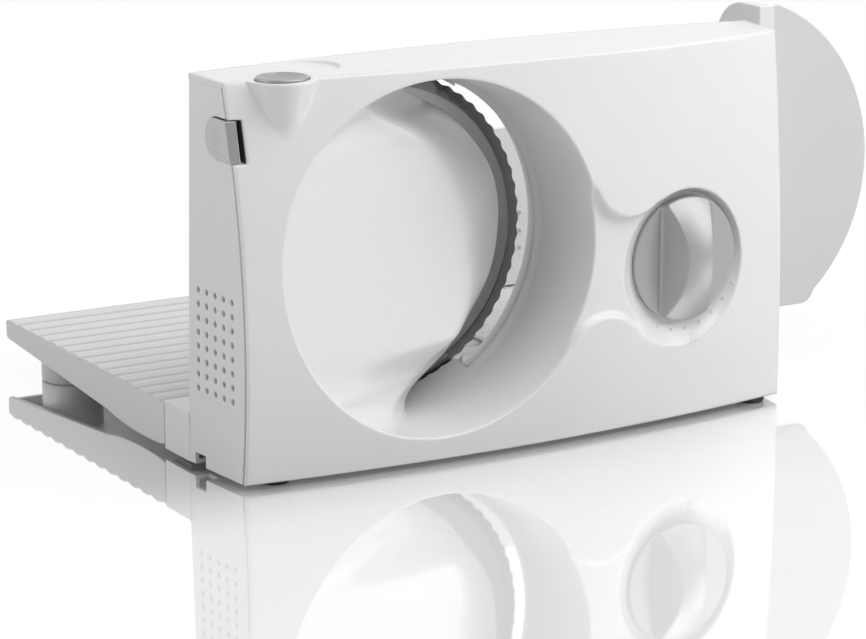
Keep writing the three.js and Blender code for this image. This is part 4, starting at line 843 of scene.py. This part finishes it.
dial_turn = whole_turn(200)
dial_rings = [(circle(dial_turn, KNOB_R - d), d == 0.0, roll(d, DIAL_EDGE)) for d in (0.0, 0.05, 0.2, 0.45, 0.8, 1.3)]
dial_edge = dial_rings[0][0]
dial_flat, dial_tris, back = tile(dial_rings, lambda p: np.hypot(p[:, 0], p[:, 1]) < KNOB_R - 0.001,
                                  [(-34, 34, -34, 34, 0.8)])
dial_rise = np.minimum(grip_rise(*dial_flat.T), GRIP_HIGH) - back
edge_rise = grip_rise(*dial_edge.T) - DIAL_EDGE
dial_back = []
for share, r in ((0.0, KNOB_R), (0.5, KNOB_R), (1.0, KNOB_R - 0.1), (1.0, KNOB_R - 0.6), (1.0, 20.0), (1.0, 0.0)):
    dial_back.append(np.c_[dial_edge * r / KNOB_R, edge_rise * (1 - share) - 1.8 * share])
points, faces = joined([(np.c_[dial_flat, dial_rise], dial_tris), skin(dial_back, closed=True)])
a, c, p = points.T
knob_points = np.c_[KNOB_X + a * math.cos(KNOB_TILT) + p * math.sin(KNOB_TILT),
                    KNOB_Y + a * math.sin(KNOB_TILT) - p * math.cos(KNOB_TILT), KNOB_Z + c]
knob_points[:, 1] = np.maximum(knob_points[:, 1], FRONT_MOST)
knob = make_piece("thickness_dial", knob_points, faces, ((KNOB_X, -20, KNOB_Z), (0, -1, 0)))
knob.data.materials.append(silver_coat("knob_silver", (0.42, 0.42, 0.425), 0.38))
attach(knob, "knob")
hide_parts("thickness_knob")

bar = np.array([(x, y, z) for z in (-1.3, 1.3) for y in (-0.16, 0.9) for x in (-0.4, 0.4)])
tick_bar = make_piece("tick_bar", bar, [(0, 1, 5, 4), (2, 6, 7, 3), (0, 4, 6, 2), (1, 3, 7, 5), (0, 2, 3, 1),
                                        (4, 5, 7, 6)], crease=30, moved=False)
tick_angle = np.radians(-86 + 14.5 * np.arange(-2, 5))
TICK_R = 39.6
# Each tick is set on the moulded cover, found by looking straight at it from the front.
tick_spots = []
for x, z in circle(tick_angle, TICK_R, KNOB_X, KNOB_Z):
    ahead = in_place((x, -60.0, z))
    found, spot, _, _ = front_cover.ray_cast(ahead, (0, 1, 0), depsgraph=bpy.context.evaluated_depsgraph_get())
    tick_spots.append(tuple(spot) if found else in_place((x, face_y(x, z), z)))
tick_turns = [(0.0, math.pi / 2 - a, 0.0) for a in tick_angle]
dial_ticks = repeat("dial_ticks", tick_bar, tick_spots, white_plastic, tick_turns)
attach(dial_ticks, "housing")
arrow = np.array(rounded([(266, 47), (263.6, 48.2), (260.8, 43), (269.6, 45.2), (266, 47)], 0.5))[1:]
arrow_y = face_y(*arrow.T)
middle = arrow.mean(axis=0)
arrow_rows = []
for size, deep in ((1.06, 0.5), (1.06, -0.15), (0.97, -0.38), (0.5, -0.38), (0.0, -0.38)):
    arrow_rows.append(at_depth(middle + (arrow - middle) * size, arrow_y + deep))
points, sides = skin(arrow_rows, closed=True)
dial_arrow = make_piece("dial_arrow", points, sides + [tuple(range(len(arrow)))], ((265, -12, 45.5), (0, -1, 0)),
                        crease=35)
dial_arrow.data.materials.append(white_plastic)
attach(dial_arrow, "housing")

# Stop plate: the food stop beside the blade, a flat white plate with a deep curved flange along the slot, stiffened
# edges and two guide rods that slide in the body. Moulded in one with its rods.
STOP_R, STOP_LOW, STOP_HIGH, STOP_RIGHT, STOP_Y = 92.7, math.radians(-57), math.radians(61), 314.0, 53.0
FLANGE_R, FLANGE_Y, FLANGE_BACK, FLANGE_CUT, STOP_STEPS = 90.7, 35.5, 52.9, 7.4, 90


def capped(rows):
    """A closed skin with one more face over its first row and one over its last."""
    points, sides = skin(rows, closed=True)
    n, every = len(rows[0]), range(len(points))
    return points, sides + [tuple(every[:n]), tuple(every[-n:])]


def plate(outline, low, high, edge):
    """A flat plate with rounded edges: the outline runs anticlockwise and the thickness from low to high."""
    outline = np.asarray(outline, float)
    before, after = outline - np.roll(outline, 1, axis=0), np.roll(outline, -1, axis=0) - outline
    before /= np.linalg.norm(before, axis=1)[:, None]
    after /= np.linalg.norm(after, axis=1)[:, None]
    mean = before + after
    inward = np.c_[-mean[:, 1], mean[:, 0]]
    inward /= np.linalg.norm(inward, axis=1)[:, None]
    inward /= np.maximum((inward * np.c_[-after[:, 1], after[:, 0]]).sum(axis=1), 0.4)[:, None]
    rows = []
    for t in np.linspace(0, math.pi / 2, 5):
        rows.append((edge * (1 - math.sin(t)), low + edge * (1 - math.cos(t))))
    rows += [(d, high + low - level) for d, level in rows[::-1]]
    return capped([at_depth(outline + inward * d, level) for d, level in rows])


stop_turn = np.linspace(STOP_LOW, STOP_HIGH, STOP_STEPS)
stop_arc = circle(stop_turn, STOP_R, BLADE_X, BLADE_Z)
low_z, high_z = stop_arc[0, 1], stop_arc[-1, 1]
stop_outline = np.vstack([stop_arc[::-1], [(STOP_RIGHT, low_z), (STOP_RIGHT, high_z)]])
parts = [plate(stop_outline, STOP_Y - 2.4, STOP_Y, 0.5)]
section = rounded([(FLANGE_R + 1, FLANGE_Y), (FLANGE_R + 2, FLANGE_Y), (FLANGE_R + 2, FLANGE_BACK),
                   (FLANGE_R, FLANGE_BACK), (FLANGE_R, FLANGE_Y), (FLANGE_R + 1, FLANGE_Y)], 0.9, 5)
# Low down the flange is shorter, because the outlet opens out there and the drawn-in plate has to clear it.
cut_back = FLANGE_CUT * soft_step((math.radians(-8) - stop_turn) / math.radians(12)) / (FLANGE_BACK - FLANGE_Y)
band = [np.array([(BLADE_X + r * math.cos(t), y + cut * (FLANGE_BACK - y), BLADE_Z + r * math.sin(t))
                  for r, y in section]) for t, cut in zip(stop_turn, cut_back)]
parts.append(capped(band))
for x0, x1, z0, z1 in ((170, STOP_RIGHT, low_z, low_z + 2), (160, STOP_RIGHT, high_z - 2, high_z),
                       (STOP_RIGHT - 2, STOP_RIGHT, low_z + 2, high_z - 2)):
    parts.append(plate([(x0, z0), (x1, z0), (x1, z1), (x0, z1)], 45, STOP_Y - 0.5, 0.4))
for x, z in ((300, 150), (300, 45)):
    parts.append(turned(rounded([(0, 22), (4.2, 22), (4.2, 52), (0, 52)], 0.6), 28, (x, z), "y"))
stop_plate = make_piece("stop_plate_moulding", *joined(parts), crease=40)
stop_plate.modifiers.new("even shading", "WEIGHTED_NORMAL")
stop_plate.data.materials.append(white_plastic)
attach(stop_plate, "stop")
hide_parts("stop_plate")

# Table: the pale moulded table with round ribs along its length, end walls and stiffening webs, hinged to the body.
# Its two round feet under the far corners are moulded in the same pale plastic and glued in.
RIB_START, RIB_PITCH = 0.15025, 0.014064
ribbed_table = from_solid("ribbed_table", "table_moulding")
soften(ribbed_table, 0.45)
table_plastic = moulded_plastic("table_plastic", (0.77, 0.77, 0.775), (0.74, 0.741, 0.747), 0.3, 0.42)
# The grooves between the ribs on the table's top get a darker grey mixed into the colour: painted shade, standing for
# the shade that falls in the grooves.
nodes = table_plastic.node_tree.nodes
shader = nodes["Principled BSDF"]
unshaded_colour = shader.inputs["Base Color"].links[0].from_socket
place = block(nodes, "SeparateXYZ", {"Vector": block(nodes, "TexCoord").outputs["Object"]})
from_groove = block(nodes, "Math", {0: place.outputs["Y"], 1: RIB_START}, operation="SUBTRACT")
pitch_turn = block(nodes, "Math", {0: from_groove, 1: 2 * math.pi / RIB_PITCH}, operation="MULTIPLY")
wave = block(nodes, "Math", {0: pitch_turn}, operation="COSINE")
groove = block(nodes, "MapRange", {"From Min": 0.35, "From Max": 1.0, "Value": wave}, interpolation_type="SMOOTHSTEP")
on_top = block(nodes, "MapRange", {"From Min": 0.0266, "From Max": 0.0272, "Value": place.outputs["Z"]})
# Painted shade in the rib grooves, on the top of the table only.
painted_groove_shade = block(nodes, "Math", {0: groove, 1: on_top}, operation="MULTIPLY")
grey = block(nodes, "Mix", {"A": unshaded_colour, "B": (0.56, 0.56, 0.575, 1), "Factor": painted_groove_shade}, data_type="RGBA")
feed(shader, {"Base Color": grey})
ribbed_table.data.materials.append(table_plastic)
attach(ribbed_table, "housing")
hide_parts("ribbed_table")
sole = rounded([(0, 1.6), (12, 1.6), (13.2, 0), (16.4, 0), (17, 1), (17, 24.5), (0, 24.5)], 0.6)
round_foot = make_piece("round_foot", *turned(sole, 72), crease=45, moved=False)
table_feet = repeat("table_feet", round_foot, [in_place((x, 243, 0)) for x in (17.5, 315.5)], pale_plastic)
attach(table_feet, "housing")
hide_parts("table_foot_left", "table_foot_right")

# Food carriage: the ribbed tray, the pusher wall and the round hand guard in one white moulding that slides along
# the table. The remnant holder, a white plate with food spikes and a hollow grip, stands on it.
food_carriage = from_solid("food_carriage", "carriage_moulding")
soften(food_carriage, 0.9, 3)
food_carriage.data.materials.append(white_plastic)
guard_plastic = moulded_plastic("guard_plastic", (0.67, 0.67, 0.672), (0.63, 0.631, 0.634), 0.2, 0.3)
food_carriage.data.materials.append(guard_plastic)
GUARD_X, GUARD_BACK, GUARD_LOW = 361.0, 64.0, 35.0
guard_from, guard_to = in_place((GUARD_X, 0, GUARD_LOW)), in_place((0, GUARD_BACK, 0))
work = bmesh.new()
work.from_mesh(food_carriage.data)
front = [f for f in work.faces if f.normal.y < -0.9 and f.calc_center_median().y < guard_to[1]]
near = set(front) | {e for f in front for e in f.edges} | {v for f in front for v in f.verts}
bmesh.ops.bisect_plane(work, geom=list(near), dist=1e-7, plane_co=guard_from, plane_no=(1, 0, 0))
for f in work.faces:
    middle = f.calc_center_median()
    if middle.x > guard_from[0] and middle.y < guard_to[1] and middle.z > guard_from[2]:
        f.material_index = 1
work.to_mesh(food_carriage.data)
work.free()
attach(food_carriage, "carriage")
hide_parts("food_carriage")
remnant_holder = from_solid("remnant_holder", "remnant_holder_moulding")
soften(remnant_holder, 0.5)
remnant_holder.data.materials.append(white_plastic)
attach(remnant_holder, "holder")
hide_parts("remnant_holder")

# Studio: a white glossy floor that runs to a white backdrop, one broad soft box over the slicer, a softer one on the
# knob side and a weak fill from the ventilated side.
floor_mesh = bpy.data.meshes.new("studio_floor")
sheet = bmesh.new()
bmesh.ops.create_grid(sheet, x_segments=2, y_segments=2, size=6.0)
sheet.to_mesh(floor_mesh)
sheet.free()
studio_floor = shown("studio_floor", floor_mesh)
paper, nodes = new_finish("studio_paper")
nodes.remove(nodes["Principled BSDF"])
matt = block(nodes, "BsdfDiffuse", {"Color": (0.9, 0.9, 0.9, 1)})
lit = block(nodes, "Emission", {"Strength": 1.15})
where = block(nodes, "TexCoord").outputs["Object"]
oval = block(nodes, "VectorMath", {0: where, 1: (3.6, 5.4, 0)}, operation="MULTIPLY")
away = block(nodes, "VectorMath", {0: oval}, operation="LENGTH")
share = block(nodes, "MapRange", {"From Min": 0.85, "From Max": 1.5, "To Min": 0.3, "To Max": 0.75, "Value": away},
              interpolation_type="SMOOTHSTEP")
half = block(nodes, "MixShader", {"Fac": share, 1: matt, 2: lit})
mirror = block(nodes, "BsdfGlossy", {"Color": (1, 1, 1, 1), "Roughness": 0.04})
depth_in = block(nodes, "SeparateXYZ", {"Vector": where}).outputs["Y"]
polish = block(nodes, "MapRange", {"From Min": -0.2, "From Max": -0.08, "To Min": 0.44, "To Max": 0.92,
                                   "Value": depth_in}, interpolation_type="SMOOTHSTEP")
wet = block(nodes, "MixShader", {"Fac": polish, 1: half, 2: mirror})
path = block(nodes, "LightPath")
seen = block(nodes, "Math", {0: path.outputs["Is Camera Ray"], 1: path.outputs["Is Glossy Ray"]}, operation="MAXIMUM")
level = block(nodes, "MapRange", {"From Min": 1.0, "From Max": 3.2, "To Min": 0.54, "To Max": 0.86, "Value": away},
              interpolation_type="SMOOTHSTEP")
bounce = block(nodes, "BsdfDiffuse", {"Color": level})
plain = block(nodes, "MixShader", {"Fac": seen, 1: bounce, 2: wet})
feed(nodes["Material Output"], {"Surface": plain})
studio_floor.data.materials.append(paper)

world = bpy.data.worlds.new("studio_backdrop")
bpy.context.scene.world = world
world.use_nodes = True
nodes = world.node_tree.nodes
ambient = nodes["Background"]
feed(ambient, {"Color": (1, 1, 1, 1), "Strength": 0.47})
white = block(nodes, "Background", {"Color": (1, 1, 1, 1), "Strength": 1.0})
way = block(nodes, "SeparateXYZ", {"Vector": block(nodes, "TexCoord").outputs["Generated"]}).outputs["Y"]
behind = block(nodes, "MapRange", {"From Min": -0.15, "From Max": 0.35, "Value": way}, interpolation_type="SMOOTHSTEP")
path = block(nodes, "LightPath")
mirrored = block(nodes, "Math", {0: path.outputs["Is Glossy Ray"], 1: behind}, operation="MULTIPLY")
seen = block(nodes, "Math", {0: path.outputs["Is Camera Ray"], 1: mirrored}, operation="MAXIMUM")
pick = block(nodes, "MixShader", {"Fac": seen, 1: ambient, 2: white})
feed(nodes["World Output"], {"Surface": pick})


def soft_box(name, place, aim, size, power):
    lamp = bpy.data.lights.new(name, "AREA")
    lamp.shape, lamp.size, lamp.size_y, lamp.energy = "RECTANGLE", size[0], size[1], power
    holder = bpy.data.objects.new(name, lamp)
    holder.location = place
    holder.rotation_euler = (Vector(aim) - Vector(place)).to_track_quat("-Z", "Y").to_euler()
    bpy.context.scene.collection.objects.link(holder)


soft_box("overhead_box", (0.45, -0.8, 1.6), (0.0, 0.0, 0.1), (1.6, 1.2), 17)
soft_box("knob_side_box", (1.7, -1.15, 0.95), (0.1, -0.1, 0.1), (1.0, 1.2), 12)
soft_box("vent_side_fill", (-1.9, 0.3, 0.8), (-0.2, 0.0, 0.1), (1.0, 1.0), 4)

# Camera: a long lens almost two metres off, a little above the slicer and to the left of its front, aimed so that
# the body, the outlet and the table stand in the frame as they do in the picture.
lens = bpy.data.cameras.new("studio_camera")
lens.lens, lens.sensor_width, lens.clip_end = 133.66, 36.0, 30.0
camera = bpy.data.objects.new("studio_camera", lens)
camera.location = (-0.9068, -1.48395, 0.4653)
camera.rotation_euler = (math.radians(76.03), 0.0, math.radians(-30.70))
bpy.context.scene.collection.objects.link(camera)
bpy.context.scene.camera = camera
bpy.context.scene.view_settings.view_transform = "Standard"
